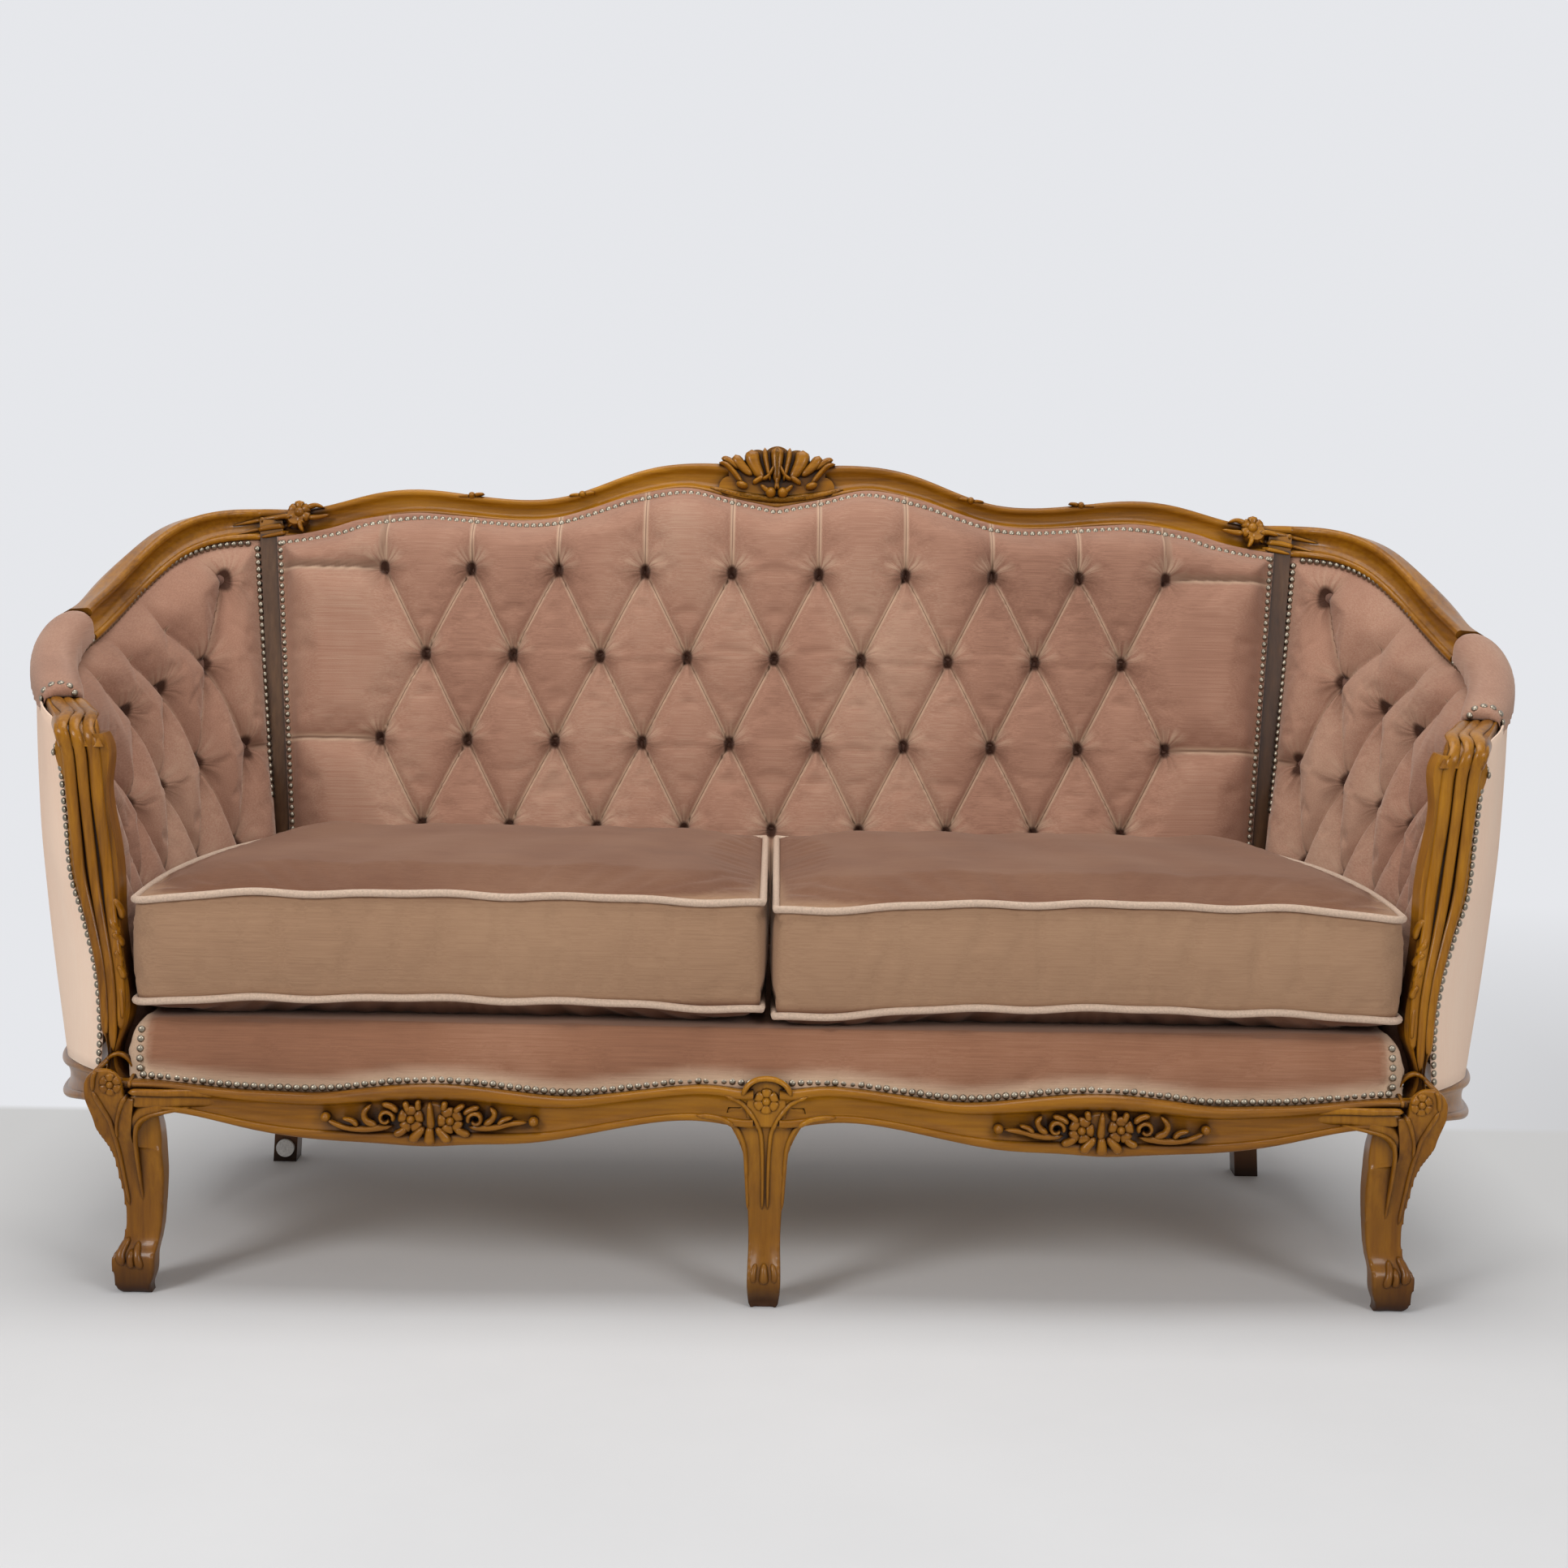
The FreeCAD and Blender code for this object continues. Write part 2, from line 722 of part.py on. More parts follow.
def back_webbing(crest):
    """Upright straps behind the back pad, from the lower back rail to the crest."""
    straps = []
    near = pad_depth + fit_gap
    for k in range(strap_count):
        x = (k - (strap_count - 1) / 2) * strap_spacing
        corners = [(x - strap_width / 2, lower_back_low), (x + strap_width / 2, lower_back_low),
                   (x + strap_width / 2, crest_top(x)), (x - strap_width / 2, crest_top(x))]
        straps.append(seated(back_board(corners, near, near + strap_thickness), [crest]))
    return Part.makeCompound(straps)


# Upholstery panels: a grid of points in front, one behind, and a skin round both.
def panel(front, back, falling, flat):
    """A closed solid between two point grids; falling picks which way a cell is creased."""
    faces = []
    rows, columns = len(front), len(front[0])

    def add(*points):
        faces.append(Part.Face(loop(list(points))))

    for grid in (front, ) if flat else (front, back):
        for j in range(rows - 1):
            for i in range(columns - 1):
                a, b, c, d = grid[j][i], grid[j][i + 1], grid[j + 1][i + 1], grid[j + 1][i]
                if falling(i, j):
                    add(a, b, d)
                    add(b, c, d)
                else:
                    add(a, b, c)
                    add(a, c, d)
    edge = [(0, i) for i in range(columns)] + [(j, columns - 1) for j in range(1, rows)]
    edge += [(rows - 1, i) for i in range(columns - 2, -1, -1)] + [(j, 0) for j in range(rows - 2, 0, -1)]
    if flat:
        add(*[back[j][i] for j, i in edge])
    for (j, i), (n, m) in zip(edge, edge[1:] + edge[:1]):
        if flat:
            add(front[j][i], front[n][m], back[n][m], back[j][i])
        else:
            add(front[j][i], front[n][m], back[n][m])
            add(front[j][i], back[n][m], back[j][i])
    shell = Part.makeShell(faces)
    shell.sewShape()
    solid = Part.Solid(shell)
    if solid.Volume < 0:
        solid.reverse()
    return solid


def tuft(across, upward):
    """Height of the buttoned surface; a button sits where both places are whole and their sum even."""
    rise = abs(math.sin(math.pi * (across + upward) / 2))
    fall = abs(math.sin(math.pi * (across - upward) / 2))
    crease = (crease_height - button_seat_height) * max(rise, fall)
    return button_seat_height + crease + (pillow_height - crease_height) * rise * fall


back_cells_across = 19
back_cells_up = 6
pleat_share = 0.8


def back_pad(neighbours):
    """The buttoned back: pillows between diamond creases, pleated up to the crest."""
    rows = []
    for level in range(-2, back_cells_up + 3):
        front_row, back_row = [], []
        for k in range(-back_cells_across - 1, back_cells_across + 2):
            across, upward = k / 2, level / 2
            x = across * button_pitch / 2
            z = lowest_button_height + upward * button_row_pitch
            out = tuft(across, upward)
            if level > back_cells_up:
                last_row = lowest_button_height + back_cells_up / 2 * button_row_pitch
                z = last_row + (crest_bottom(x) + overrun - last_row) * (level - back_cells_up) / 2
                out = pad_shoulder * (pleat_share if k % 4 == 2 else 1)
            if level == -2:
                z = lower_back_low + fit_gap
            if abs(k) >= back_cells_across:
                out = pad_shoulder
            if abs(k) > back_cells_across:
                x = math.copysign(post_middle(min(z, crest_end_bottom)).x - post_width / 2 - fit_gap, k)
            if abs(k) > back_cells_across or level in (-2, back_cells_up + 2):
                out = pad_border
            front_row.append(on_back(x, z, out))
            back_row.append(on_back(x, z, -pad_depth))
        rows.append((front_row, back_row))

    def falling(i, j):
        return ((i - back_cells_across - 1) // 2 + (j - 2) // 2) % 2 == 1

    return seated(panel([r[0] for r in rows], [r[1] for r in rows], falling, True), neighbours)


def button(centre, outward):
    """A covered button: an eight-sided dome, flat towards the pad."""
    side = outward.cross(Vec(0, 0, 1)).normalize()
    rise = side.cross(outward)

    def ring(radius, depth):
        return loop([centre + outward * depth + side * (radius * math.cos(k * math.pi / 4))
                     + rise * (radius * math.sin(k * math.pi / 4)) for k in range(8)])

    return loft([ring(button_radius, 0), ring(button_radius * boss_top_share, button_thickness)], ruled=True)


button_rows = 4
longest_row = 10


def back_buttons():
    found = []
    for row in range(button_rows):
        count = longest_row - 1 + row % 2
        z = lowest_button_height + row * button_row_pitch
        for k in range(count):
            x = (k - (count - 1) / 2) * button_pitch
            found.append(button(on_back(x, z, button_seat_height + fit_gap), plane_out))
    return Part.makeCompound(found)


# Wing pads: a grid from the seat-level line up to the rails, both as shares of their length.
wing_base_shares = [
    (0.0, 1.0), (0.16, 0.87), (0.39, 0.74), (0.65, 0.59), (0.92, 0.36), (0.95, 0.17), (0.88, 0.0),
]
wing_first_button_share = 0.085
wing_columns = 13
wing_crowding_power = 1.15
wing_step_share = 0.04
wing_cells_across = 24
wing_cells_up = 6
wing_row_shares = [(0.325, 0.4), (0.535, 0.63), (0.735, 0.87), (0.915, 0.96)]
wing_row_buttons = [5, 5, 3, 1]
wing_tuft_share = 0.8
wing_top_inward_share = 0.3


def path_through(points):
    curve = Part.BSplineCurve()
    curve.interpolate(points)
    return curve


def along(curve, share):
    return curve.value(curve.FirstParameter + (curve.LastParameter - curve.FirstParameter) * share)


def wing_base():
    """Seat-level line behind the wing padding, from the rear post to the arm support."""
    z = side_lip_height + side_lip_wave + fit_gap
    rear = post_middle(z).x + post_width / 2 + fit_gap
    return path_through([Vec(rear + (wing_bulge_x - rear) * a, wing_front_y + (wing_rear_y - wing_front_y) * b, z)
                         for a, b in wing_base_shares])


def rails_underside(inward_share, end):
    """A line along the undersides of wing and arm rails, at a share of their half width."""
    found = []
    frames = wing_frames()
    last = len(frames) - 1
    for k, (point, up, out) in list(enumerate(frames))[:last:2]:
        found.append(point - up * (wing_height(k / last) + fit_gap) + out * (crest_thickness / 2 * inward_share))
    for k, (point, up, out) in enumerate(arm_frames()[:padded_stations]):
        found.append(point - up * (arm_height + fit_gap) + out * (arm_half_width(k) * inward_share))
    return path_through(found + [end])


def support_back(z):
    """Where the back face of the arm support stands at a height."""
    share = (z - support_foot_z()) / (support_top_z() - support_foot_z())
    backward = curve_value([(height, b) for height, _, b, _ in support_shares], share)
    return support_foot_y + support_backward * backward + support_depth / 2


def arm_end(x):
    """The last point of the wing panels' upper lines, behind the arm support."""
    z = hand_top - arm_height - arm_wood_drop / 2
    return Vec(x, support_back(z) + fit_gap, z)


base_line = wing_base()
top_lines = [rails_underside(side, arm_end(support_foot_x + support_outward)) for side in (-1, 1)]
top_line = rails_underside(wing_top_inward_share, arm_end(support_foot_x + support_outward))


def on_wing(share, rise, out):
    """A point on the wing's inner surface, moved towards the sitter by out, and that direction."""
    step = wing_step_share
    foot, head = along(base_line, share), along(top_line, share)
    point = foot + (head - foot) * rise
    ahead = along(base_line, min(share + step, 1)) - along(base_line, max(share - step, 0))
    low = Vec(ahead.y, -ahead.x, 0).normalize()
    high = along(top_lines[1], share) - along(top_lines[0], share)
    inward = Vec(0, -1, 0) if share == 0 else Vec(-1, 0, 0)
    if 0 < share < 1:
        inward = (low * (1 - rise) + high.normalize() * rise).normalize()
    if share == 1:
        point.y = support_back(point.z) + fit_gap
    return point + inward * out, inward


def wing_place(across, upward):
    """Shares along and up the wing of a place in its button pattern, which crowds towards the arm."""
    share = 1 - (1 - wing_first_button_share) * (1 - across / wing_columns) ** wing_crowding_power
    i = min(max(math.floor(upward), 0), len(wing_row_shares) - 2)
    rear, front = [low + (high - low) * (upward - i) for low, high in zip(wing_row_shares[i], wing_row_shares[i + 1])]
    return share, rear + (front - rear) * across / wing_columns


def wing_button_places():
    """Column and row of each button of a wing; the upper rows stop short."""
    return [(2 * k + (row + 1) % 2, row) for row, count in enumerate(wing_row_buttons) for k in range(count)]


def wing_pad(neighbours):
    """The buttoned inside of a wing and arm, one curved panel fitted to the wood round it."""
    rows = []
    for level in range(-3, wing_cells_up + 2):
        front_row, back_row = [], []
        for k in range(-2, wing_cells_across + 2):
            across, upward = k / 2, level / 2
            share, rise = wing_place(across, upward)
            border = k in (-2, wing_cells_across + 1) or level in (-3, wing_cells_up + 1)
            share = 0 if k == -2 else 1 if k == wing_cells_across + 1 else share
            rise = 0 if level == -3 else 1 if level == wing_cells_up + 1 else rise
            height = tuft(across, upward + 1)
            if (across, upward) not in wing_button_places():
                height = max(height, crease_height)
            out = pad_border if border or level == -2 or k == -1 else height * wing_tuft_share
            front_row.append(on_wing(share, rise, out)[0])
            back_row.append(on_wing(share, rise, -wing_pad_depth)[0])
        rows.append((front_row, back_row))

    def falling(i, j):
        return ((i - 2) // 2 + (j - 3) // 2) % 2 == 0

    return seated(panel([r[0] for r in rows], [r[1] for r in rows], falling, False), neighbours)


def wing_buttons():
    found = []
    for across, upward in wing_button_places():
        centre, inward = on_wing(*wing_place(across, upward), button_seat_height * wing_tuft_share + fit_gap)
        found.append(button(centre, inward))
    return Part.makeCompound(found)


cover_stations = 12


def outside_wing_cover(neighbours):
    """The outer cloth of a wing and arm, from the side rail's lip up to the rails."""
    lips = [side_lip_height + side_lip_wave * lip for _, _, lip, _ in side_path_shares]
    feet = [p + Vec(0, 0, lip + fit_gap) for (p, _), lip in zip(side_frames(lip_thickness / 2), lips)]
    base = path_through(feet[::-1])
    top = rails_underside(-1, arm_end(support_foot_x + support_outward + support_width / 2 + fit_gap))
    wires = []
    for k in range(cover_stations + 1):
        share = k / cover_stations
        foot, head = along(base, share), along(top, share)
        ahead = along(base, min(share + 1 / cover_stations, 1)) - along(base, max(share - 1 / cover_stations, 0))
        out = Vec(-ahead.y, ahead.x, 0).normalize()
        middle = (foot + head) / 2 + out * (cover_bulge * math.sin(math.pi * (share + 1) / 3))
        inner = [p - out * cover_thickness for p in (foot, middle, head)]
        wires.append(Part.Wire([arc(foot, middle, head), line(head, inner[2]),
                                arc(inner[2], inner[1], inner[0]), line(inner[0], foot)]))
    return seated(loft(wires), neighbours)


def outside_back_cover():
    """The outer cloth of the back, flat on the rear faces of posts and crest."""
    steps = 12
    near = crest_thickness + fit_gap / 2
    reach_low, reach_high = post_middle(seat_rail_top).x, post_middle(crest_end_bottom).x
    outline = [(-reach_low, seat_rail_top), (reach_low, seat_rail_top)]
    for k in range(steps + 1):
        x = reach_high * (1 - 2 * k / steps)
        outline.append((x, crest_bottom(x) + overrun))
    return back_board(outline, near, near + cover_thickness)


# Seat platform and cushions: outlines at successive levels, lofted.
corner_bend_share = 1 - math.sqrt(0.5)


def seat_outline(left_x, right_x, front, back, waist, rear, z):
    """A seat shape in plan: rounded corner, bowed outer side, straight back."""
    def side(edge):
        sign = math.copysign(1, edge)
        a, b = Vec(edge - sign * cushion_corner, front, z), Vec(edge, front + cushion_corner, z)
        bend = Vec(edge - sign * cushion_corner * corner_bend_share, front + cushion_corner * corner_bend_share, z)
        return a, bend, b, Vec(sign * waist, (front + back) / 2, z), Vec(sign * rear, back, z)

    a, bend, b, middle, rest = side(right_x)
    edges = [arc(a, bend, b), arc(b, middle, rest)]
    if left_x < 0:
        c, turn, d, left_middle, end = side(left_x)
        edges += [line(rest, end), arc(end, left_middle, d), arc(d, turn, c),
                  arc(c, Vec(0, front - front_bow, z), a)]
    else:
        end, c = Vec(left_x, back, z), Vec(left_x, front, z)
        edges += [line(rest, end), line(end, c), line(c, a)]
    return Part.Wire(edges)


def cushion_level(inset, z):
    return seat_outline(cushion_half_gap + inset, cushion_outer_x - inset, cushion_front_y + inset,
                        cushion_back_y - inset, cushion_waist_x - inset, cushion_rear_x - inset / 2, z)


# Levels of the cushion above its top seam, and below its bottom seam: (rise, inset).
cushion_crown_shares = [(0.0, 0.0), (0.55, 0.3), (0.9, 0.7), (1.0, 1.0)]
cushion_belly_shares = [(1.0, 1.0), (0.55, 0.3), (0.0, 0.0)]


def cushion():
    edge = 2 * piping_radius + fit_gap
    belly = cushion_bottom_seam - platform_top - fit_gap
    wires = [cushion_level(edge + cushion_inset * inset, cushion_bottom_seam - belly * rise)
             for rise, inset in cushion_belly_shares]
    wires += [cushion_level(edge + cushion_inset * inset, cushion_top_seam + cushion_crown * rise)
              for rise, inset in cushion_crown_shares]
    return loft(wires, ruled=True)


def piping_loop(z):
    """A hexagonal cord round the cushion's seam."""
    path = cushion_level(piping_radius, z)
    first = path.Edges[0]
    start, direction = first.valueAt(first.FirstParameter), first.tangentAt(first.FirstParameter)
    side = direction.cross(Vec(0, 0, 1)).normalize()
    section = loop([start + side * (piping_radius * math.cos(k * math.pi / 3))
                    + Vec(0, 0, piping_radius * math.sin(k * math.pi / 3)) for k in range(6)])
    return path.makePipeShell([section], True, False, 2)


def cushion_piping():
    return Part.makeCompound([piping_loop(cushion_bottom_seam), piping_loop(cushion_top_seam)])


# Height and inset of the platform's levels, as shares of its height and of its inset.
platform_level_shares = [(0.0, 0.0), (0.5, 0.0), (0.85, 0.35), (1.0, 1.0)]


def seat_platform():
    low = seat_rail_top + strap_thickness + fit_gap
    wires = []
    for rise, inset_share in platform_level_shares:
        inset = platform_inset * inset_share
        half = platform_half_width - inset
        wires.append(seat_outline(-half, half, front_face_y + lip_thickness + fit_gap + inset,
                                  back_y(low) - pad_border - inset, cushion_waist_x - inset, cushion_rear_x,
                                  low + (platform_top - low) * rise))
    return loft(wires, ruled=True)


def foot_cap():
    """The round white cap on the front of the left rear foot."""
    foot = post_middle(foot_cap_height)
    return Part.makeCylinder(foot_cap_radius, foot_cap_thickness + overrun,
                             Vec(-foot.x, foot.y - post_depth / 2 + overrun, foot_cap_height), Vec(0, -1, 0))


def dowel(centre, direction):
    return Part.makeCylinder(dowel_radius, dowel_length, centre - direction * (dowel_length / 2), direction)


def right_dowels():
    """Dowels across the joints of the right-hand frame."""
    rail_middle = (crest_end_top + crest_end_bottom) / 2
    joint, joint_up, _ = wing_frames()[-1]
    drop = (arm_wood_drop + wing_end_height) / 2
    along_joint = Vec(joint_tangent).normalize()
    return [
        dowel(on_back(crest_half_length, rail_middle, -crest_thickness / 2), Vec(1, 0, 0)),
        dowel(on_back(post_top_x, crest_end_bottom, -post_depth / 2), plane_up),
        dowel(joint - joint_up * drop, along_joint),
        dowel(Vec(support_foot_x + support_outward, hand_y, hand_top - (dowel_length + overrun) / 2), Vec(0, 0, 1)),
        dowel(Vec(support_foot_x, support_foot_y - 2 * dowel_radius, support_foot_z()), Vec(0, 0, 1)),
    ]


def block_corners():
    """Inner corners of the seat frame at the front leg and at the rear post."""
    return Vec(front_leg_x - block_half_width / 2, rail_back_y, 0), Vec(post_seat_x, back_y(seat_rail_top), 0)


def right_screws():
    front, rear = block_corners()
    return [screw(front, -1, 1), screw(rear, -1, -1)]


nodes = {}


def add_pair(name, shape):
    nodes[name + "_right"] = shape
    nodes[name + "_left"] = mirror(shape)


def build():
    dowels, screws = right_dowels(), right_screws()
    pins = Part.makeCompound(dowels + [mirror(d) for d in dowels])

    crest, wing, arm = crest_rail(), wing_rail(), arm_rail()
    arm_cap = seated(arm_pad(), [arm])
    post = seated(rear_post(), [crest, wing])
    corner, middle = corner_leg(), centre_leg()
    front = seated(front_rail(), [corner, middle])
    side = seated(side_rail(), [corner, post])
    support = seated(arm_support(), [corner, side, arm])
    posts = [post, mirror(post)]
    rear_rail = seated(rear_seat_rail(), posts)
    front_corner, rear_corner = block_corners()

    nodes["crest_rail"] = seated(crest, [pins])
    nodes["front_leg_centre"] = middle
    nodes["rear_seat_rail"] = rear_rail
    nodes["lower_back_rail"] = seated(lower_back_rail(), posts)
    nodes["seat_brace"] = seated(seat_brace(), [middle])
    add_pair("wing_rail", seated(wing, dowels))
    add_pair("arm_rail", seated(arm, dowels))
    add_pair("arm_support", seated(support, dowels))
    add_pair("front_leg", seated(corner, dowels + screws))
    add_pair("rear_post", seated(post, dowels + screws))
    add_pair("front_rail", seated(front, screws))
    add_pair("side_rail", seated(side, dowels + screws))
    add_pair("front_corner_block", seated(corner_block(front_corner, -1, 1), [corner, front, side] + screws[:1]))
    add_pair("rear_corner_block", seated(corner_block(rear_corner, -1, -1), [post, rear_rail, side] + screws[1:]))
    nodes["frame_dowels"] = pins
    nodes["corner_screws"] = Part.makeCompound(screws + [mirror(s) for s in screws])

    nodes["seat_webbing"] = seat_webbing()
    nodes["back_webbing"] = back_webbing(crest)
    nodes["seat_platform"] = seated(seat_platform(), [corner, mirror(corner), middle])
    nodes["back_pad"] = back_pad([crest])
    nodes["back_buttons"] = back_buttons().cut(nodes["back_pad"])
    inside = wing_pad([post, wing, arm, support])
    add_pair("wing_pad", inside)
    add_pair("wing_buttons", wing_buttons().cut(inside))
    add_pair("arm_pad", arm_cap)
    add_pair("outside_wing_cover", outside_wing_cover([side, wing, arm, arm_cap, post, support, corner, crest]))
    nodes["outside_back_cover"] = outside_back_cover()
    add_pair("cushion", cushion())
    add_pair("cushion_piping", cushion_piping())
    nodes["foot_cap"] = seated(foot_cap(), posts)


build()
os.makedirs("parts", exist_ok=True)
for name, shape in nodes.items():
    shape.exportStep("parts/" + name + ".step")
    print(name, round(shape.Volume / 1000), "cm3", "valid" if shape.isValid() else "NOT VALID", len(shape.Solids))
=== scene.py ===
import bpy
import bmesh
import math
import numpy as np
from mathutils import Matrix, Vector
from mathutils.bvhtree import BVHTree


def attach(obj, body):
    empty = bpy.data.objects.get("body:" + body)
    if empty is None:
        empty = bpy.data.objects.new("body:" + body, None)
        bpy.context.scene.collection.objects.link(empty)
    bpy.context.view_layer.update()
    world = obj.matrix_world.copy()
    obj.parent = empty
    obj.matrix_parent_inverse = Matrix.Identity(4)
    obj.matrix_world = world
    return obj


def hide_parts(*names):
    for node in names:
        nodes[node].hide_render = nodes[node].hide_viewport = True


# Rococo sofa: carved show-wood frame, buttoned back and wings, two loose cushions.
# Metres, +Z up, the sofa faces -Y. Names with Shares are tables of shares, smoothed by curveValue.

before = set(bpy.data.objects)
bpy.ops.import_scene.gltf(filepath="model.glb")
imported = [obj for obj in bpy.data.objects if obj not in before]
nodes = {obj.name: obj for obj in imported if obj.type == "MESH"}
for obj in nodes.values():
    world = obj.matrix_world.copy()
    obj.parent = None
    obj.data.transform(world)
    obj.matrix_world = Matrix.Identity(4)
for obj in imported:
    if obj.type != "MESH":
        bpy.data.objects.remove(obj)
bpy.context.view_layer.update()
scene = bpy.context.scene
print("frame loaded,", len(nodes), "nodes")


# Mesh and curve helpers

def linked(name, data):  # an object with this data, in the scene
    obj = bpy.data.objects.new(name, data)
    scene.collection.objects.link(obj)
    return obj


def addMesh(name, points, faces, smooth=True):
    mesh = bpy.data.meshes.new(name)
    mesh.from_pydata([tuple(p) for p in points], [], faces)
    mesh.update()
    mesh.polygons.foreach_set("use_smooth", [smooth] * len(mesh.polygons))
    return linked(name, mesh)


def faceOut(obj, merge=True):  # turns every face outwards, after merging doubles
    work = bmesh.new()
    work.from_mesh(obj.data)
    if merge:
        bmesh.ops.remove_doubles(work, verts=work.verts, dist=1e-5)
    bmesh.ops.recalc_face_normals(work, faces=work.faces)
    work.to_mesh(obj.data)
    work.free()
    obj.data.update()
    return obj


def tubeFaces(rings, sides):  # quads between rings of points, and a face over each end
    faces = []
    for k in range(rings - 1):
        for n in range(sides):
            a, b = k * sides + n, k * sides + (n + 1) % sides
            faces.append((a, b, b + sides, a + sides))
    return faces + [tuple(range(sides))[::-1], tuple(range((rings - 1) * sides, rings * sides))]


def meshTree(mesh):
    return BVHTree.FromPolygons([v.co for v in mesh.vertices], [tuple(f.vertices) for f in mesh.polygons])


def coordinates(mesh):
    flat = np.zeros(len(mesh.vertices) * 3)
    mesh.vertices.foreach_get("co", flat)
    return flat.reshape(-1, 3)


def setCoordinates(mesh, points):
    mesh.vertices.foreach_set("co", np.asarray(points, float).ravel())
    mesh.update()


def bakeModifiers(obj):  # the evaluated shape becomes the object's own mesh
    view = bpy.context.evaluated_depsgraph_get()
    mesh = bpy.data.meshes.new_from_object(obj.evaluated_get(view))
    obj.modifiers.clear()
    obj.data = mesh
    return obj


def mirrored(obj, name):
    twin = linked(name, obj.data.copy())
    points = coordinates(twin.data)
    points[:, 0] *= -1
    setCoordinates(twin.data, points)
    twin.data.flip_normals()
    return twin


def onSide(side, row):  # (point, direction) pairs, mirrored where side is -1
    return [(Vector((side * p.x, p.y, p.z)), Vector((side * d.x, d.y, d.z))) for p, d in row]


def clipped(value):
    return min(max(value, 0.0), 1.0)


def curveValue(table, place):  # smooth curve through (place, value) pairs
    places, values = [p for p, _ in table], [v for _, v in table]
    last = len(table) - 1
    place = min(max(place, places[0]), places[-1])
    i = max(k for k in range(last) if places[k] <= place)
    width = places[i + 1] - places[i]
    t = (place - places[i]) / width

    def slope(k):
        low, high = max(k - 1, 0), min(k + 1, last)
        return (values[high] - values[low]) / (places[high] - places[low]) * width

    rise = values[i + 1] - values[i]
    return (values[i] + (3 * t**2 - 2 * t**3) * rise + (t**3 - 2 * t**2 + t) * slope(i)
            + (t**3 - t**2) * slope(i + 1))


def columnValue(table, column, place):  # the same, through one column of a table whose first is the place
    return curveValue([(row[0], row[column]) for row in table], place)


def measuredAlong(points):  # a function of share along a smooth line
    points = [Vector(p) for p in points]
    reach = [0.0]
    for a, b in zip(points, points[1:]):
        reach.append(reach[-1] + (b - a).length)
    tables = [[(r / reach[-1], p[k]) for r, p in zip(reach, points)] for k in range(3)]
    return lambda share: Vector([curveValue(table, share) for table in tables])


def spline(points, count):  # evenly spaced points on a smooth line through the given ones
    along = measuredAlong(points)
    return [along(k / (count - 1)) for k in range(count)]


# Shader wiring

class Wire:  # an output socket that can be added, multiplied and fed to other nodes
    def __init__(self, tree, socket=None):
        self.tree, self.socket = tree, socket

    def node(self, kind, settings={}, values={}, out=0):
        made = self.tree.nodes.new(kind)
        for key, value in settings.items():
            if key == "stops":
                while len(made.color_ramp.elements) < len(value):
                    made.color_ramp.elements.new(1.0)
                for stop, (place, shade) in zip(made.color_ramp.elements, value):
                    stop.position, stop.color = place, (*shade, 1.0)
            else:
                setattr(made, key, value)
        for key, value in values.items():
            if isinstance(value, Wire):
                self.tree.links.new(value.socket, made.inputs[key])
            else:
                made.inputs[key].default_value = value
        return Wire(self.tree, made.outputs[out])

    def sum(self, operation, a, b=0.0):
        return self.node("ShaderNodeMath", {"operation": operation}, {0: a, 1: b})

    def __add__(self, other):
        return self.sum("ADD", self, other)

    __radd__ = __add__

    def __sub__(self, other):
        return self.sum("SUBTRACT", self, other)

    def __rsub__(self, other):
        return self.sum("SUBTRACT", other, self)

    def __mul__(self, other):
        return self.sum("MULTIPLY", self, other)

    __rmul__ = __mul__

    def __pow__(self, other):
        return self.sum("POWER", self, other)

    def clamped(self, low, high):  # 0 below low, 1 above high
        return self.node("ShaderNodeMapRange", {}, {"Value": self, "From Min": low, "From Max": high})

    def mix(self, a, b):  # colour a where this is 0, b where it is 1
        a, b = [c if isinstance(c, Wire) else (*c, 1.0) for c in (a, b)]
        return self.node("ShaderNodeMix", {"data_type": "RGBA"}, {0: self, 6: a, 7: b}, 2)

    def stretched(self, scale):
        return self.node("ShaderNodeMapping", {}, {"Vector": self, "Scale": scale})

    def axis(self, k):
        return self.node("ShaderNodeSeparateXYZ", {}, {0: self}, k)

    def stored(self, key):  # a value that the mesh keeps for each point
        return self.node("ShaderNodeAttribute", {"attribute_name": key}, {}, 2)

    def ramp(self, *stops):
        return self.node("ShaderNodeValToRGB", {"stops": stops}, {"Fac": self})

    def covering(self, under, over):  # shader over where this is 1, under where it is 0
        return self.node("ShaderNodeMixShader", {}, {0: self, 1: under, 2: over})

    def noise(self, size, detail=3.0, rough=0.5):
        return self.node("ShaderNodeTexNoise", {}, {"Vector": self, "Scale": size, "Detail": detail,
                                                    "Roughness": rough})


def material(name, constants):
    made = bpy.data.materials.new(name)
    made.use_nodes = True
    shader = made.node_tree.nodes["Principled BSDF"]
    for key, value in constants.items():
        shader.inputs[key].default_value = value
    place = Wire(made.node_tree).node("ShaderNodeTexCoord", {}, {}, 3)
    return made, shader, place


def feed(shader, **links):
    for key, wire in links.items():
        wire.tree.links.new(wire.socket, shader.inputs[key.replace("_", " ")])


def bumped(place, height, strength, depth):
    return place.node("ShaderNodeBump", {}, {"Height": height, "Strength": strength, "Distance": depth})


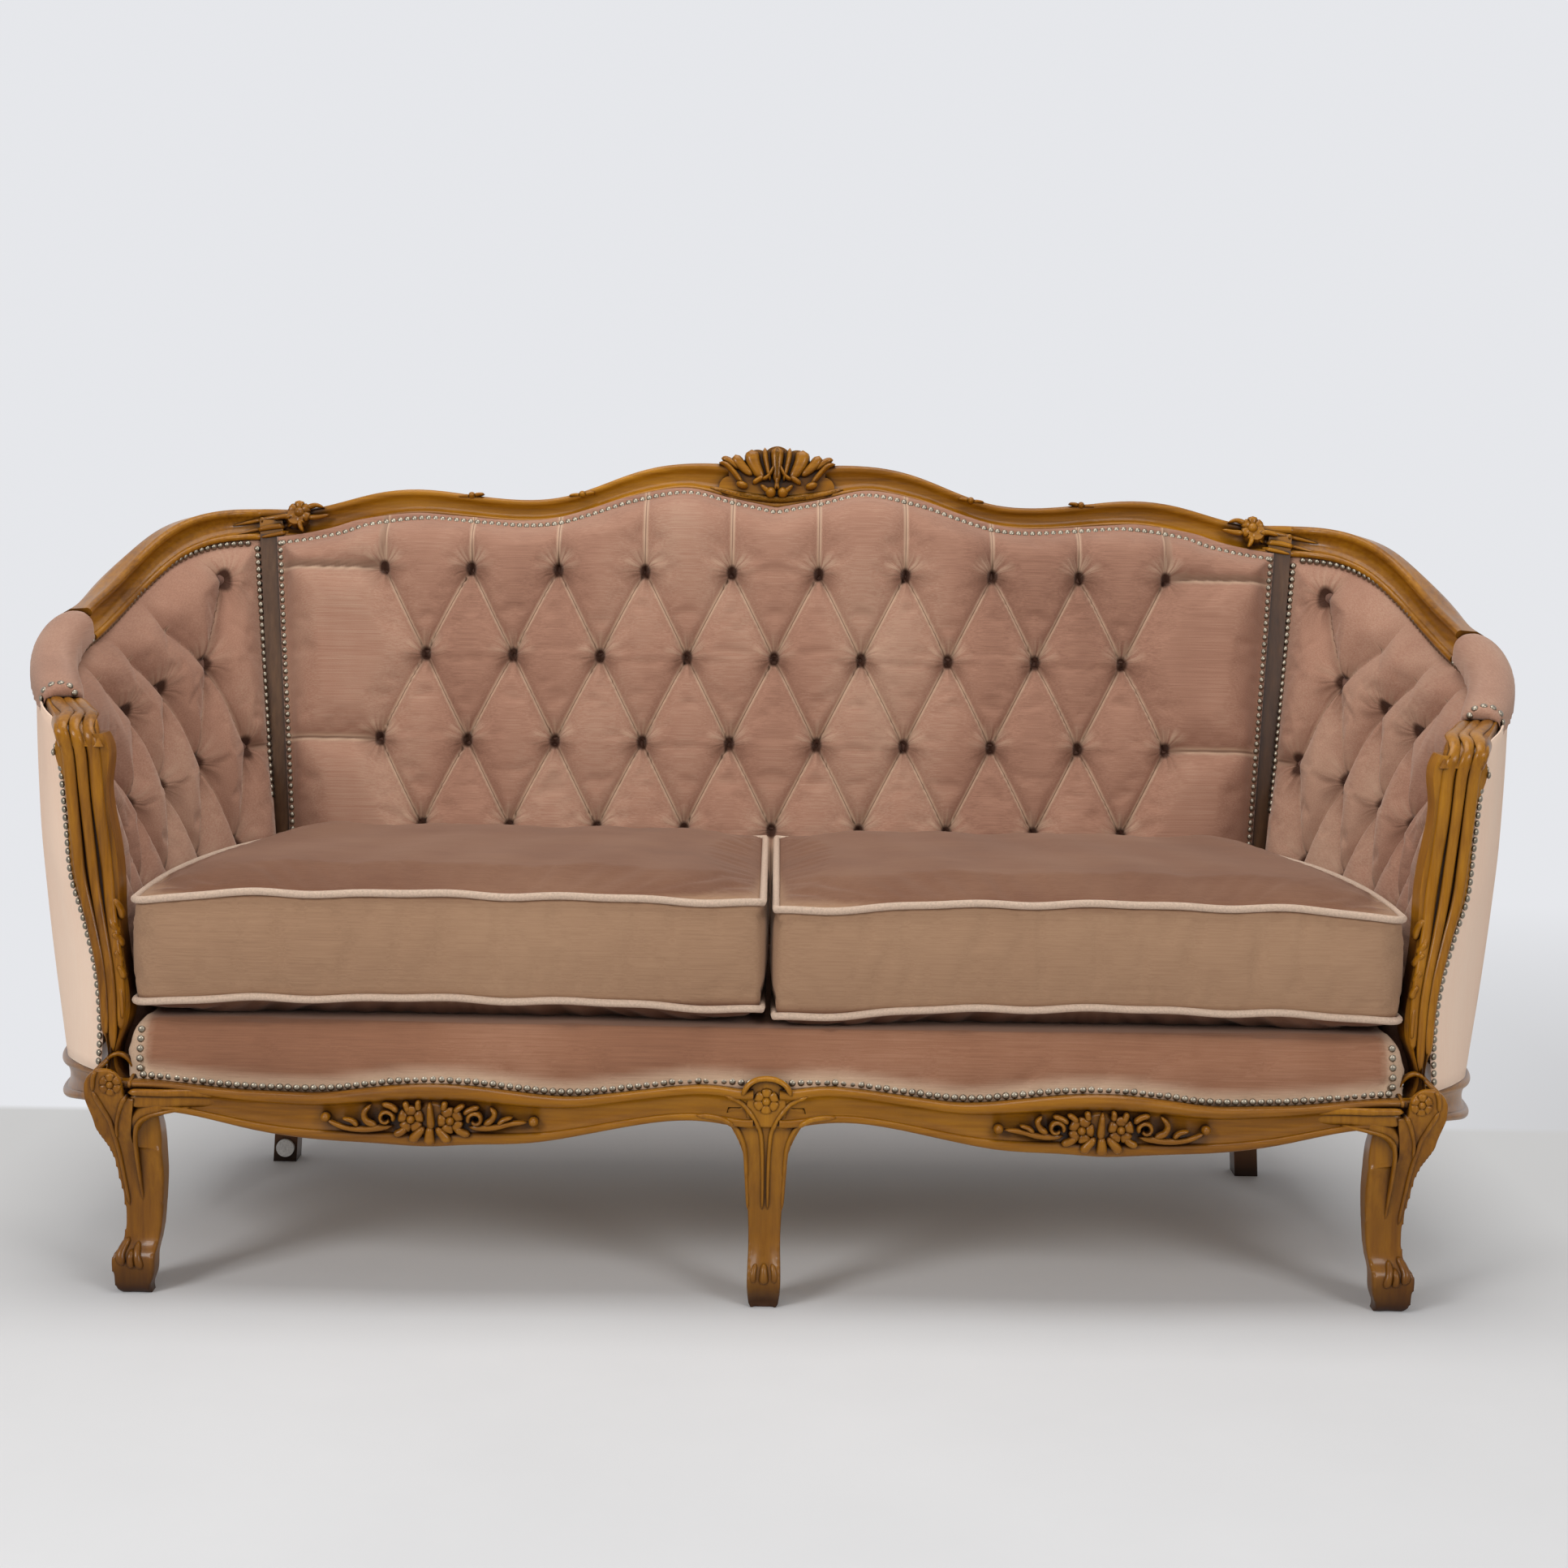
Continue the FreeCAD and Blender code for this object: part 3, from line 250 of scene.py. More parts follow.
woodLook = {"pale": (0.47, 0.2, 0.008), "golden": (0.29, 0.11, 0.003), "brown": (0.12, 0.04, 0.003),
            # foot: the colour that the show wood's lower legs darken to, as painted shade
            "glaze": (0.035, 0.012, 0.004), "foot": (0.12, 0.04, 0.003), "crown": (0.33, 0.13, 0.004),
            "crownFrom": 2.0, "hollow": 0.014, "roughness": 0.24, "coat": 0.14, "gloss": 0.24,
            "grain": (190.0, 9.0), "figure": (9.0, 1.6)}  # noise scales, across the grain and along it


def woodMaterial(name, along, look=woodLook):  # along is the axis that the grain follows
    made, shader, place = material(name, {"Coat Weight": look["coat"], "Coat Roughness": 0.1, "IOR": 1.42,
                                          "Specular IOR Level": look["gloss"]})

    def fibre(scales, detail, rough):
        return place.stretched([scales[k == along] for k in range(3)]).noise(1.0, detail, rough)

    grain, figure = fibre(look["grain"], 4.0, 0.6), fibre(look["figure"], 3.0, 0.55)
    tone = (grain * 0.45 + figure * 0.75).clamped(0.38, 0.82)
    shade = tone.ramp((0.0, look["brown"]), (0.45, look["golden"]), (1.0, look["pale"]))
    # painted shade, partly the real dark glaze: ambient occlusion finds the hollows, and below they turn
    # towards the glaze colour
    hollowShadeAndGlaze = place.node("ShaderNodeAmbientOcclusion", {"samples": 6}, {"Distance": look["hollow"]}, 1)
    depth = hollowShadeAndGlaze.clamped(0.35, 0.92)
    wear = place.noise(24.0, 4.0, 0.65).clamped(0.3, 0.75)
    height = place.axis(2)
    # painted shade: from 0.3 m down to 0.1 m the show wood turns halfway to its darker foot colour, where
    # less light reaches the legs; the posts' foot colour is lighter instead
    shade = (height.clamped(0.3, 0.1) * 0.5).mix(shade, look["foot"])
    shade = height.clamped(look["crownFrom"], look["crownFrom"] + 0.003).mix(shade, look["crown"])
    shade = (height.clamped(0.05, 0.008) * 0.85).mix(shade, look["glaze"])
    # the hollows take the glaze colour: painted shade, and the glaze that collects in the carving
    colour = (depth * (0.85 + 0.15 * wear)).mix(look["glaze"], shade)
    feed(shader, Base_Color=colour, Roughness=look["roughness"] + 0.14 * grain + 0.1 * (1 - depth),
         Normal=bumped(place, grain * 0.5 + figure * 0.5, 0.12, 0.002))
    return made


def plainWood():
    made, shader, place = material("frameWood", {"Roughness": 0.7})
    grain = place.stretched((14.0, 160.0, 160.0)).noise(1.0, 4.0, 0.6)
    feed(shader, Base_Color=grain.clamped(0.3, 0.7).mix((0.36, 0.22, 0.11), (0.6, 0.42, 0.24)),
         Normal=bumped(place, grain, 0.2, 0.001))
    return made


velourLook = {"deep": (0.21, 0.1, 0.066), "rose": (0.36, 0.19, 0.128), "light": (0.5, 0.335, 0.235),
              # painted light among these: a highlight for fold crests, shade for the cores of creases, and
              # shade for the pits round the buttons
              "bare": (0.6, 0.43, 0.3), "rub": (0.56, 0.41, 0.29), "pit": (0.06, 0.024, 0.014),
              "seam": (0.17, 0.08, 0.05), "tint": (0.95, 0.78, 0.66, 1.0), "slub": 0.5, "sheen": 0.4,
              "thread": (620.0, 11.0)}  # noise scales, across the threads and along them


def velourMaterial(name, along, tone, look=velourLook):  # tone moves the whole piece from deep to light
    made, shader, place = material(name, {"Roughness": 0.92, "Sheen Weight": look["sheen"],
                                          "Sheen Roughness": 0.45, "Sheen Tint": look["tint"],
                                          "Specular IOR Level": 0.15})
    slub = place.stretched([look["thread"][k == along] for k in range(3)]).noise(1.0, 3.0, 0.6)
    pile = place.noise(900.0, 2.0, 0.5)
    nap = place.stretched((5.0, 5.0, 2.2)).noise(1.0, 4.0, 0.55)
    level = (0.85 * nap + look["slub"] * slub + 0.12 * pile + tone - 0.15).clamped(0.25, 1.0)
    shade = level.ramp((0.0, look["deep"]), (0.45, look["rose"]), (1.0, look["light"]))
    crease, tufting, brushed, reach, across, upward = [
        place.stored(key) for key in ("crease", "tufted", "brushed", "reach", "pullX", "pullZ")]
    near = 1.0
    for key in ("foldsA", "foldsB"):  # a fold lies where the value is whole
        gap = place.sum("ABSOLUTE", place.sum("FRACT", place.stored(key) + 0.5) - 0.5)
        near = place.sum("MINIMUM", gap, near)
    # painted highlight: the crests of the folds turn lighter
    edge = crease * (1 - near.clamped(0.012, 0.04))
    ridge = (edge * (0.5 + 0.5 * nap)).mix(shade, look["bare"])
    # painted shade: a thin dark line down the middle of each fold
    ridge = (crease * (1 - near.clamped(0.003, 0.011)) * 0.75).mix(ridge, look["seam"])
    turn = place.sum("ARCTAN2", upward, across)  # creases that run out from each button like a star, with a painted highlight above the button and painted shade below it
    rays = place.node("ShaderNodeTexNoise", {"noise_dimensions": "1D"},
                      {"W": turn * 3.2 + nap * 9.0, "Scale": 1.0, "Detail": 2.0}).clamped(0.4, 0.62)
    fade = reach.clamped(0.034, 0.007) * tufting
    above = upward.clamped(-0.006, 0.012)
    # painted highlight on the star creases above each button
    ridge = (fade * rays * above * 0.85).mix(ridge, look["bare"])
    # painted shade on the star creases below each button
    ridge = (fade * (1 - above) * (0.35 + 0.5 * rays)).mix(ridge, look["seam"])
    # painted shade: the cloth close round each button turns nearly black
    hollow = (across * across + upward * upward * 0.5 + 1e-9) ** 0.5
    hollow = hollow.clamped(0.0085, 0.0055) * tufting * reach.clamped(0.018, 0.014)
    # paler where the mesh asks for it: between the cushions' seams, and along the platform's lower edge and
    # ends
    paled = (brushed * (0.35 + 0.3 * nap + 0.6 * slub)).mix(ridge, look["rub"])
    relief = slub * 0.7 + pile * 0.3 + crease * near.clamped(0.0, 0.05) * 2.5 + fade * rays * 1.6
    feed(shader, Base_Color=hollow.mix(paled, look["pit"]), Normal=bumped(place, relief, 0.4, 0.0009))
    return made


print("materials")
woods = [woodMaterial("showWood" + axis, k) for k, axis in enumerate("XYZ")]
postLook = dict(woodLook, pale=(0.14, 0.07, 0.03), golden=(0.075, 0.034, 0.014), brown=(0.035, 0.015, 0.007),
                glaze=(0.012, 0.006, 0.004), foot=(0.34, 0.15, 0.07),
                crownFrom=0.842)  # above it the post is part of the golden rail
postWood = woodMaterial("postWood", 2, postLook)
bareWood = plainWood()
velour = velourMaterial("velour", 0, 0.0)
sideVelour = velourMaterial("sideVelour", 1, 0.02, dict(velourLook, bare=(0.45, 0.29, 0.2)))
cushionTones = dict(velourLook, deep=(0.115, 0.052, 0.03), rose=(0.172, 0.078, 0.045),
                    light=(0.25, 0.13, 0.077), rub=(0.37, 0.225, 0.135), sheen=0.17)
bandVelour = velourMaterial("cushionVelour", 0, 0.05, cushionTones)
seatLook = dict(velourLook, deep=(0.18, 0.08, 0.045), rose=(0.26, 0.12, 0.068), light=(0.38, 0.2, 0.125),
                rub=(0.64, 0.46, 0.32), sheen=0.2)
seatVelour = velourMaterial("seatVelour", 0, 0.0, seatLook)
outerLook = dict(velourLook, deep=(0.76, 0.5, 0.37), rose=(0.87, 0.63, 0.48), light=(0.92, 0.75, 0.6),
                 slub=0.35)
outerVelour = velourMaterial("outerVelour", 2, 0.1, outerLook)


def plainMaterial(name, shade, roughness, metal=0.0, size=400.0):
    made, shader, place = material(name, {"Metallic": metal, "IOR": 1.5})
    speck = place.noise(size, 3.0, 0.6)
    dark = tuple(c * 0.72 for c in shade)
    feed(shader, Base_Color=speck.clamped(0.3, 0.7).mix(dark, shade), Roughness=roughness + 0.12 * speck,
         Normal=bumped(place, speck, 0.1, 0.0005))
    return made


pipingVelour = plainMaterial("pipingVelour", (0.6, 0.44, 0.33), 0.85)
buttonVelour = plainMaterial("buttonVelour", (0.2, 0.1, 0.07), 0.85)
nailBrass = plainMaterial("nailBrass", (0.3, 0.26, 0.2), 0.3, 1.0, 90.0)
jute = plainMaterial("jute", (0.42, 0.32, 0.19), 0.9)
screwSteel = plainMaterial("screwSteel", (0.55, 0.55, 0.56), 0.35, 1.0)
whitePlastic = plainMaterial("whitePlastic", (0.93, 0.93, 0.91), 0.4)


# Frame nodes that keep their shape

def nodeTree(name, sizes):  # a Geometry Nodes tree with its named inputs
    tree = bpy.data.node_groups.new(name, "GeometryNodeTree")
    tree.interface.new_socket("Geometry", in_out="INPUT", socket_type="NodeSocketGeometry")
    tree.interface.new_socket("Geometry", in_out="OUTPUT", socket_type="NodeSocketGeometry")
    for key, value in sizes.items():
        socket = tree.interface.new_socket(key, in_out="INPUT", socket_type="NodeSocketFloat")
        socket.default_value = value
    return tree, tree.nodes.new("NodeGroupInput"), tree.nodes.new("NodeGroupOutput")


def smoothTree(sharpFrom):  # smooth shading, but for the edges sharper than this angle
    tree, inside, outside = nodeTree("smoothEdges", {})
    angle, sharp, smooth, faces, edges = [tree.nodes.new(kind) for kind in (
        "GeometryNodeInputMeshEdgeAngle", "FunctionNodeCompare", "FunctionNodeBooleanMath",
        "GeometryNodeSetShadeSmooth", "GeometryNodeSetShadeSmooth")]
    sharp.inputs[1].default_value, smooth.operation, edges.domain = sharpFrom, "NOT", "EDGE"
    for source, target, name in ((angle, sharp, 0), (sharp, smooth, 0), (inside, faces, 0), (faces, edges, 0),
                                 (smooth, edges, "Shade Smooth"), (edges, outside, 0)):
        tree.links.new(source.outputs[0], target.inputs[name])
    return tree


smoothEdges = smoothTree(math.radians(32))


def smoothByAngle(obj):  # weld the loose triangles and shade them smooth
    weld = obj.modifiers.new("weld", "WELD")
    weld.merge_threshold = 1e-5
    obj.modifiers.new("smooth", "NODES").node_group = smoothEdges


def paint(obj, look):
    obj.data.materials.clear()
    obj.data.materials.append(look)


grainAxes = {"crest_rail": 0, "front_rail": 0, "wing_rail": 1, "arm_rail": 1, "side_rail": 1,
             "arm_support": 2, "front_leg": 2, "rear_post": 2}
hiddenWood = ("rear_seat_rail", "lower_back_rail", "seat_brace", "front_corner_block", "rear_corner_block",
              "frame_dowels")
for name, obj in nodes.items():
    base = name.replace("_left", "").replace("_right", "").replace("_centre", "")
    if base in grainAxes:
        paint(obj, postWood if base == "rear_post" else woods[grainAxes[base]])
        smoothByAngle(obj)
    elif base in hiddenWood:
        paint(obj, bareWood)
    elif "webbing" in base:
        paint(obj, jute)
    elif base == "corner_screws":
        paint(obj, screwSteel)
    elif base == "foot_cap":
        paint(obj, whitePlastic)
        smoothByAngle(obj)


# Stage: floor, backdrop, lamps and camera

stageLook = {"floor": (0.67, 0.67, 0.675), "wall": (0.79, 0.8, 0.83), "wallFrom": 0.5, "extent": 30,
             # corner is painted shade on the backdrop, darker towards its lower right
             # open is painted light: the glow on the floor beside the sofa
             "corner": (0.56, 0.56, 0.57), "open": (0.61, 0.605, 0.6), "world": 0.24, "aim": (0, 0, 0.45),
             "camera": (0.003, -3.1573, 0.915), "yaw": 0.22, "pitch": 6.57, "roll": 0.95, "lens": 58.79,
             "lamps": {"lampLeft": ((-2.6, -3.2, 2.3), 78.0, 1.3), "lampRight": ((2.4, -3.4, 2.1), 50.0, 1.3),
                       "lampTop": ((0.0, -0.3, 3.2), 56.0, 2.2)}}  # place, power, size


def shownRays(base):  # 1 for camera, glossy and transmission rays
    shown = base.node("ShaderNodeLightPath")
    paths = shown.socket.node.outputs
    for key in ("Is Glossy Ray", "Is Transmission Ray"):
        shown = base.sum("MAXIMUM", shown, Wire(base.tree, paths[key]))
    return shown


def addFloor(look):
    far = look["extent"]
    corners = [(-far, -far, 0), (far, -far, 0), (far, far, 0), (-far, far, 0)]
    floor = addMesh("floor", corners, [(0, 1, 2, 3)], False)
    made, shader, place = material("floorPaint", {"Roughness": 0.75})
    across, depth = place.axis(0), place.axis(1)
    cloud = place.noise(1.3, 5.0, 0.6).clamped(0.3, 0.7)
    pale = tuple(min(1.0, c * 1.07) for c in look["floor"])
    feed(shader, Base_Color=cloud.mix(look["floor"], pale))
    seen = shownRays(place)
    # painted shade: the backdrop darkens towards the right and towards its foot
    corner = across.clamped(0.2, 1.3) * depth.clamped(2.6, 0.5) * 0.9
    wall = place.node("ShaderNodeEmission", {}, {"Color": corner.mix(look["wall"], look["corner"])})
    # painted light: beside the sofa and towards the back, camera, glossy and transmission rays see the floor
    # mixed with a flat glow that lifts its shade
    paintedFloorLight = place.node("ShaderNodeEmission", {}, {"Color": (*look["open"], 1.0)})
    paintedLightMask = place.sum("ABSOLUTE", across).clamped(0.7, 1.02) * depth.clamped(-0.8, 0.0) * 0.88 * seen
    behind = depth.clamped(look["wallFrom"] - 0.01, look["wallFrom"] + 0.02) * seen
    last = behind.covering(paintedLightMask.covering(Wire(made.node_tree, shader.outputs[0]), paintedFloorLight), wall)
    made.node_tree.links.new(last.socket, made.node_tree.nodes["Material Output"].inputs[0])
    floor.data.materials.append(made)


def addWorld(look):
    scene.world = bpy.data.worlds.new("studio")
    scene.world.use_nodes = True
    tree = scene.world.node_tree
    shade = shownRays(Wire(tree)).mix((look["world"],) * 3, look["wall"])
    tree.links.new(shade.socket, tree.nodes["Background"].inputs[0])
    tree.nodes["Background"].inputs[1].default_value = 1.0


def addLamps(look):
    for name, (where, power, size) in look["lamps"].items():
        lamp = bpy.data.lights.new(name, "AREA")
        lamp.energy, lamp.size = power, size
        obj = linked(name, lamp)
        obj.location = where
        obj.rotation_euler = (Vector(look["aim"]) - Vector(where)).to_track_quat("-Z", "Y").to_euler()


def addCamera(look):
    yaw, pitch, roll = [math.radians(look[k]) for k in ("yaw", "pitch", "roll")]
    ahead = Vector((math.sin(yaw) * math.cos(pitch), math.cos(yaw) * math.cos(pitch), -math.sin(pitch)))
    right = Vector((math.cos(yaw), -math.sin(yaw), 0))
    up = right.cross(ahead)
    sideways = right * math.cos(roll) + up * math.sin(roll)
    upward = up * math.cos(roll) - right * math.sin(roll)
    lens = bpy.data.cameras.new("camera")
    lens.lens, lens.sensor_width = look["lens"], 36.0
    camera = linked("camera", lens)
    turn = Matrix((sideways, upward, -ahead)).transposed().to_4x4()
    camera.matrix_world = Matrix.Translation(Vector(look["camera"])) @ turn
    scene.camera = camera
    scene.view_settings.view_transform = "Standard"


for addPart in (addFloor, addWorld, addLamps, addCamera):
    addPart(stageLook)
print("stage")


# Soft goods

# what every pad's cloth has, unless its own look says otherwise
clothLook = {"quality": 4, "mass": 0.25, "stiff": 12.0, "shear": 6.0, "bend": 0.6}


def puff(obj, look, held):  # cloth under pressure, its movement capped; held is 0 to 1 for each point
    look = {**clothLook, **look}
    rest = coordinates(obj.data)
    group = obj.vertex_groups.new(name="held")
    for level in np.unique(np.round(held, 1)):
        if level > 0:
            group.add([int(k) for k in np.nonzero(np.round(held, 1) == level)[0]], float(level), "REPLACE")
    cloth = obj.modifiers.new("cloth", "CLOTH")
    settings = cloth.settings
    settings.quality, settings.mass = look["quality"], look["mass"]
    settings.tension_stiffness = settings.compression_stiffness = look["stiff"]
    settings.shear_stiffness, settings.bending_stiffness = look["shear"], look["bend"]
    settings.use_pressure, settings.uniform_pressure_force = True, look["pressure"]
    settings.shrink_min = -look["spare"]
    settings.effector_weights.gravity = 0.0
    settings.vertex_group_mass, settings.pin_stiffness = "held", 1.0
    cloth.collision_settings.use_collision = False
    scene.frame_start, scene.frame_end = 1, look["frames"]
    cloth.point_cache.frame_start, cloth.point_cache.frame_end = 1, look["frames"]
    for tick in range(1, look["frames"] + 1):
        scene.frame_set(tick)
    view = bpy.context.evaluated_depsgraph_get()
    after = coordinates(obj.evaluated_get(view).data)
    obj.modifiers.clear()
    obj.vertex_groups.clear()
    move = after - rest
    length = np.linalg.norm(move, axis=1, keepdims=True)
    setCoordinates(obj.data, rest + move * np.minimum(1.0, look["cap"] / np.maximum(length, 1e-9)))
    scene.frame_set(1)
    return float(length.max())


def remeshed(obj, voxel, smoothing=2):
    grid = obj.modifiers.new("grid", "REMESH")
    grid.mode, grid.voxel_size, grid.use_smooth_shade = "VOXEL", voxel, True
    soften = obj.modifiers.new("soften", "SMOOTH")
    soften.iterations, soften.factor = smoothing, 0.5
    return bakeModifiers(obj)


def softCopy(node, name, voxel):  # a CAD solid's welded copy, remeshed for cloth
    return remeshed(faceOut(linked(name, nodes[node].data.copy())), voxel)


def pointValues(obj, name, values):
    attribute = obj.data.attributes.new(name, "FLOAT", "POINT")
    attribute.data.foreach_set("value", np.asarray(values, np.float32))


def foldDistance(points, folds):
    found = np.full(len(points), 9.0)
    for a, b in folds:
        a, b = np.asarray(a, float), np.asarray(b, float)
        way = b - a
        share = np.clip((points - a) @ way / (way @ way), 0, 1)
        found = np.minimum(found, np.linalg.norm(points - a - share[:, None] * way, axis=1))
    return found


def tufted(points, buttons, folds, edges, look):
    # height over the pad's ground; distances to button and fold, what is held, the way to the button
    away = points[:, None] - np.asarray(buttons)[None]
    nearest = np.linalg.norm(away, axis=2).argmin(axis=1)
    pulled = away[np.arange(len(points)), nearest]
    toButton, toFold = np.linalg.norm(pulled, axis=1), foldDistance(points, folds)
    floor = look["seat"] + (look["fold"] - look["seat"]) * (1 - np.exp(-(toButton / look["pull"]) ** 1.5))
    rise = (1 - np.exp(-toFold / look["roll"])) ** look["round"]
    height = floor + (look["pillow"] - floor) * rise
    ease = 1 - np.exp(-(np.maximum(edges - look["flat"], 0) / look["ease"]) ** 1.2)
    held = np.where((toFold < 0.004) | (toButton < 0.011) | (edges < 0.014), 1.0, 0.0)
    return look["border"] + (height - look["border"]) * ease, (toButton, toFold, held, pulled)


def gridFaces(rows, columns):
    return [(a, a + 1, a + 1 + columns, a + columns) for j in range(rows - 1)
            for a in range(j * columns, (j + 1) * columns - 1)]


def gridShell(name, front, back):  # closes two matching grids of points into one solid
    rows, columns = len(front), len(front[0])
    points = [p for grid in (front, back) for row in grid for p in row]
    count = rows * columns
    faces = [face for quad in gridFaces(rows, columns)
             for face in (quad, tuple(k + count for k in quad[::-1]))]
    edge = list(range(columns)) + [j * columns + columns - 1 for j in range(1, rows)]
    edge += [(rows - 1) * columns + i for i in range(columns - 2, -1, -1)]
    edge += [j * columns for j in range(rows - 2, 0, -1)]
    for a, b in zip(edge, edge[1:] + edge[:1]):
        faces.append((b, a, a + count, b + count))
    return addMesh(name, points, faces)


def tuftedPad(name, front, back, relief, lattice, look):
    # front and back are points, line after line; a fold lies where a value of the lattice is whole
    columns, (toButton, toFold, held, pulled) = look["columns"], relief
    flat = np.array([tuple(p) for p in front])
    cloth = addMesh("cloth", flat, gridFaces(look["lines"], columns))
    puff(cloth, look, held)
    flat = coordinates(cloth.data)
    bpy.data.objects.remove(cloth)
    skins = [[grid[k:k + columns] for k in range(0, len(grid), columns)] for grid in (flat, back)]
    pad = gridShell(name, *skins)
    # the crease and the pull towards each button drive the velour's painted highlights and shade
    crease = np.exp(-(toFold / look["line"]) ** 4) * (1 - np.exp(-(toButton / 0.012) ** 2))
    for key, values in (("crease", crease), ("foldsA", lattice[0]), ("foldsB", lattice[1]),
                        ("pullX", pulled[:, 0] * look["dark"]), ("pullZ", pulled[:, 1] * look["dark"]),
                        ("reach", toButton * look["dark"])):
        pointValues(pad, key, np.concatenate([values, np.zeros(len(back)) + 9.0]))
    pointValues(pad, "tufted", np.concatenate([np.ones(len(back)), np.zeros(len(back))]))
    return faceOut(pad, False)


def placePiece(obj, look, body, *stoodFor, slot=None, fill=None):  # a pad's fill, from 0 to 1, is not used
    paint(obj, look)
    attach(obj, body)
    if stoodFor:
        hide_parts(*stoodFor)


def placePair(right, name, look, node, fill):  # a pad of the right side and its mirror image, called name
    left = mirrored(right, name)
    placePiece(right, look, "frame", node + "right", slot="velour", fill=fill)
    placePiece(left, look, "frame", node + "left", slot="velour", fill=fill)


# The leaning back

lean = math.radians(10.4)
planeOut = Vector((0, -math.cos(lean), math.sin(lean)))
backForm = {"y": 0.2317, "z": 0.3, "crestHalf": 0.7, "crestLow": 0.835, "crestRise": 0.076, "stile": 0.636,
            "stileLow": 0.19, "stileHigh": 0.645, "splay": 0.047, "stileHalf": 0.0155}
crestBottomShares = [(0.0, 0.67), (0.086, 0.83), (0.174, 1.0), (0.283, 0.815), (0.35, 0.605), (0.42, 0.42),
                     (0.49, 0.37), (0.62, 0.447), (0.686, 0.474), (0.787, 0.34), (0.841, 0.185), (0.9, 0.065),
                     (0.954, 0.0), (1.0, 0.0)]


def backY(z):
    return backForm["y"] + (z - backForm["z"]) * math.tan(lean)


def onBack(x, z, out):
    return Vector((x, backY(z), z)) + planeOut * out


def crestBottom(x):  # height of the crest rail's lower edge
    share = curveValue(crestBottomShares, abs(x) / backForm["crestHalf"])
    return backForm["crestLow"] + backForm["crestRise"] * share


def stileX(z, side):  # inner (-1) or outer (+1) edge of the rear post
    up = min(z, backForm["crestLow"]) - backForm["stileLow"]
    return backForm["stile"] + backForm["splay"] * up / backForm["stileHigh"] + backForm["stileHalf"] * side


backLook = {"pitch": 0.1168, "rowPitch": 0.1135, "lowRow": 0.457, "rows": (9, 10, 9, 10), "low": 0.3224,
            "columns": 280, "lines": 120, "seat": 0.007, "fold": 0.026, "pillow": 0.041, "pull": 0.02,
            "roll": 0.0095, "round": 0.8, "border": 0.004, "behind": 0.018, "lap": 0.008, "flat": 0.008,
            "ease": 0.013, "pressure": 2.6, "frames": 12, "cap": 0.006, "spare": 0.012, "line": 0.006,
            "dark": 1.0}
backButtons = [[((k - (count - 1) / 2) * backLook["pitch"], backLook["lowRow"] + row * backLook["rowPitch"])
                for k in range(count)] for row, count in enumerate(backLook["rows"])]


def backFolds():
    folds = []
    reach = backLook["pitch"] * 0.6
    for low, high in zip(backButtons, backButtons[1:]):
        folds += [(a, b) for a in low for b in high if abs(a[0] - b[0]) < reach]
    folds += [((x, backLook["low"]), (x, z)) for x, z in backButtons[0]]
    folds += [((x, z), (x, crestBottom(x) + 0.01)) for x, z in backButtons[-1]]
    for row in (1, 3):
        for x, z in (backButtons[row][0], backButtons[row][-1]):
            folds.append(((x, z), (math.copysign(stileX(z, -1), x), z)))
    return folds


def makeBackPad(look):
    places, edges = [], []
    for j in range(look["lines"]):
        v = j / (look["lines"] - 1)
        for i in range(look["columns"]):
            u = 2 * i / (look["columns"] - 1) - 1
            z = look["low"] + (crestBottom(u * 0.66) + 0.003 - look["low"]) * v
            widest = stileX(z, -1) + look["lap"]
            x = u * widest
            places.append((x, z))
            edges.append(min(widest - abs(x), crestBottom(x) + 0.003 - z, z - look["low"] + 0.03))
    places, edges = np.array(places), np.maximum(np.array(edges), 0.0)
    buttons = [b for row in backButtons for b in row]
    height, relief = tufted(places, buttons, backFolds(), edges, look)
    front = [onBack(x, z, h) for (x, z), h in zip(places, height)]
    inner = [min(abs(x), stileX(z, -1) - 0.0004) for x, z in places]
    back = [onBack(math.copysign(w, x), z, -look["behind"] if abs(x) < w + 1e-6 else 0.0006)
            for (x, z), w in zip(places, inner)]
    across = np.clip(places[:, 0] / look["pitch"], -4.5, 4.5)
    rise = np.clip((places[:, 1] - look["lowRow"]) / look["rowPitch"], 0, 3) / 2
    pad = tuftedPad("backPad", front, back, relief, (across + rise, across - rise), look)
    placePiece(pad, velour, "frame", "back_pad", slot="velour", fill=0.75)


makeBackPad(backLook)
print("back pad")


# Wings and arms

wingPathShares = [(0.0, 1.0, 1.0), (0.2, 0.975, 0.995), (0.385, 0.915, 0.968), (0.555, 0.83, 0.9),
                  (0.705, 0.705, 0.765), (0.83, 0.56, 0.555), (0.92, 0.385, 0.325), (0.975, 0.195, 0.135),
                  (1.0, 0.0, 0.0)]
armPathShares = [(1.0, 1.0, 1.0), (1.03, 0.86, 0.88), (0.98, 0.7, 0.71), (0.83, 0.52, 0.5), (0.58, 0.34, 0.3),
                 (0.33, 0.18, 0.14), (0.1, 0.05, 0.03)]
baseShares = [(0.0, 1.0), (0.16, 0.87), (0.39, 0.74), (0.65, 0.59), (0.92, 0.36), (0.95, 0.17), (0.88, 0.0)]
sideShares = [(0.53, 0.0, 1.0), (0.75, 0.1, 0.8), (0.91, 0.22, 0.3), (1.0, 0.4, 0.0), (0.97, 0.56, 0.1),
              (0.82, 0.72, 0.3), (0.52, 0.87, 0.7), (0.0, 1.0, 1.0)]
wingStart, wingEnd = onBack(backForm["crestHalf"], 0.877, -0.018), Vector((0.868, 0.0367, 0.753))
armStart, armEnd = Vector((0.868, 0.0367, 0.736)), Vector((0.784, -0.2933, 0.652))


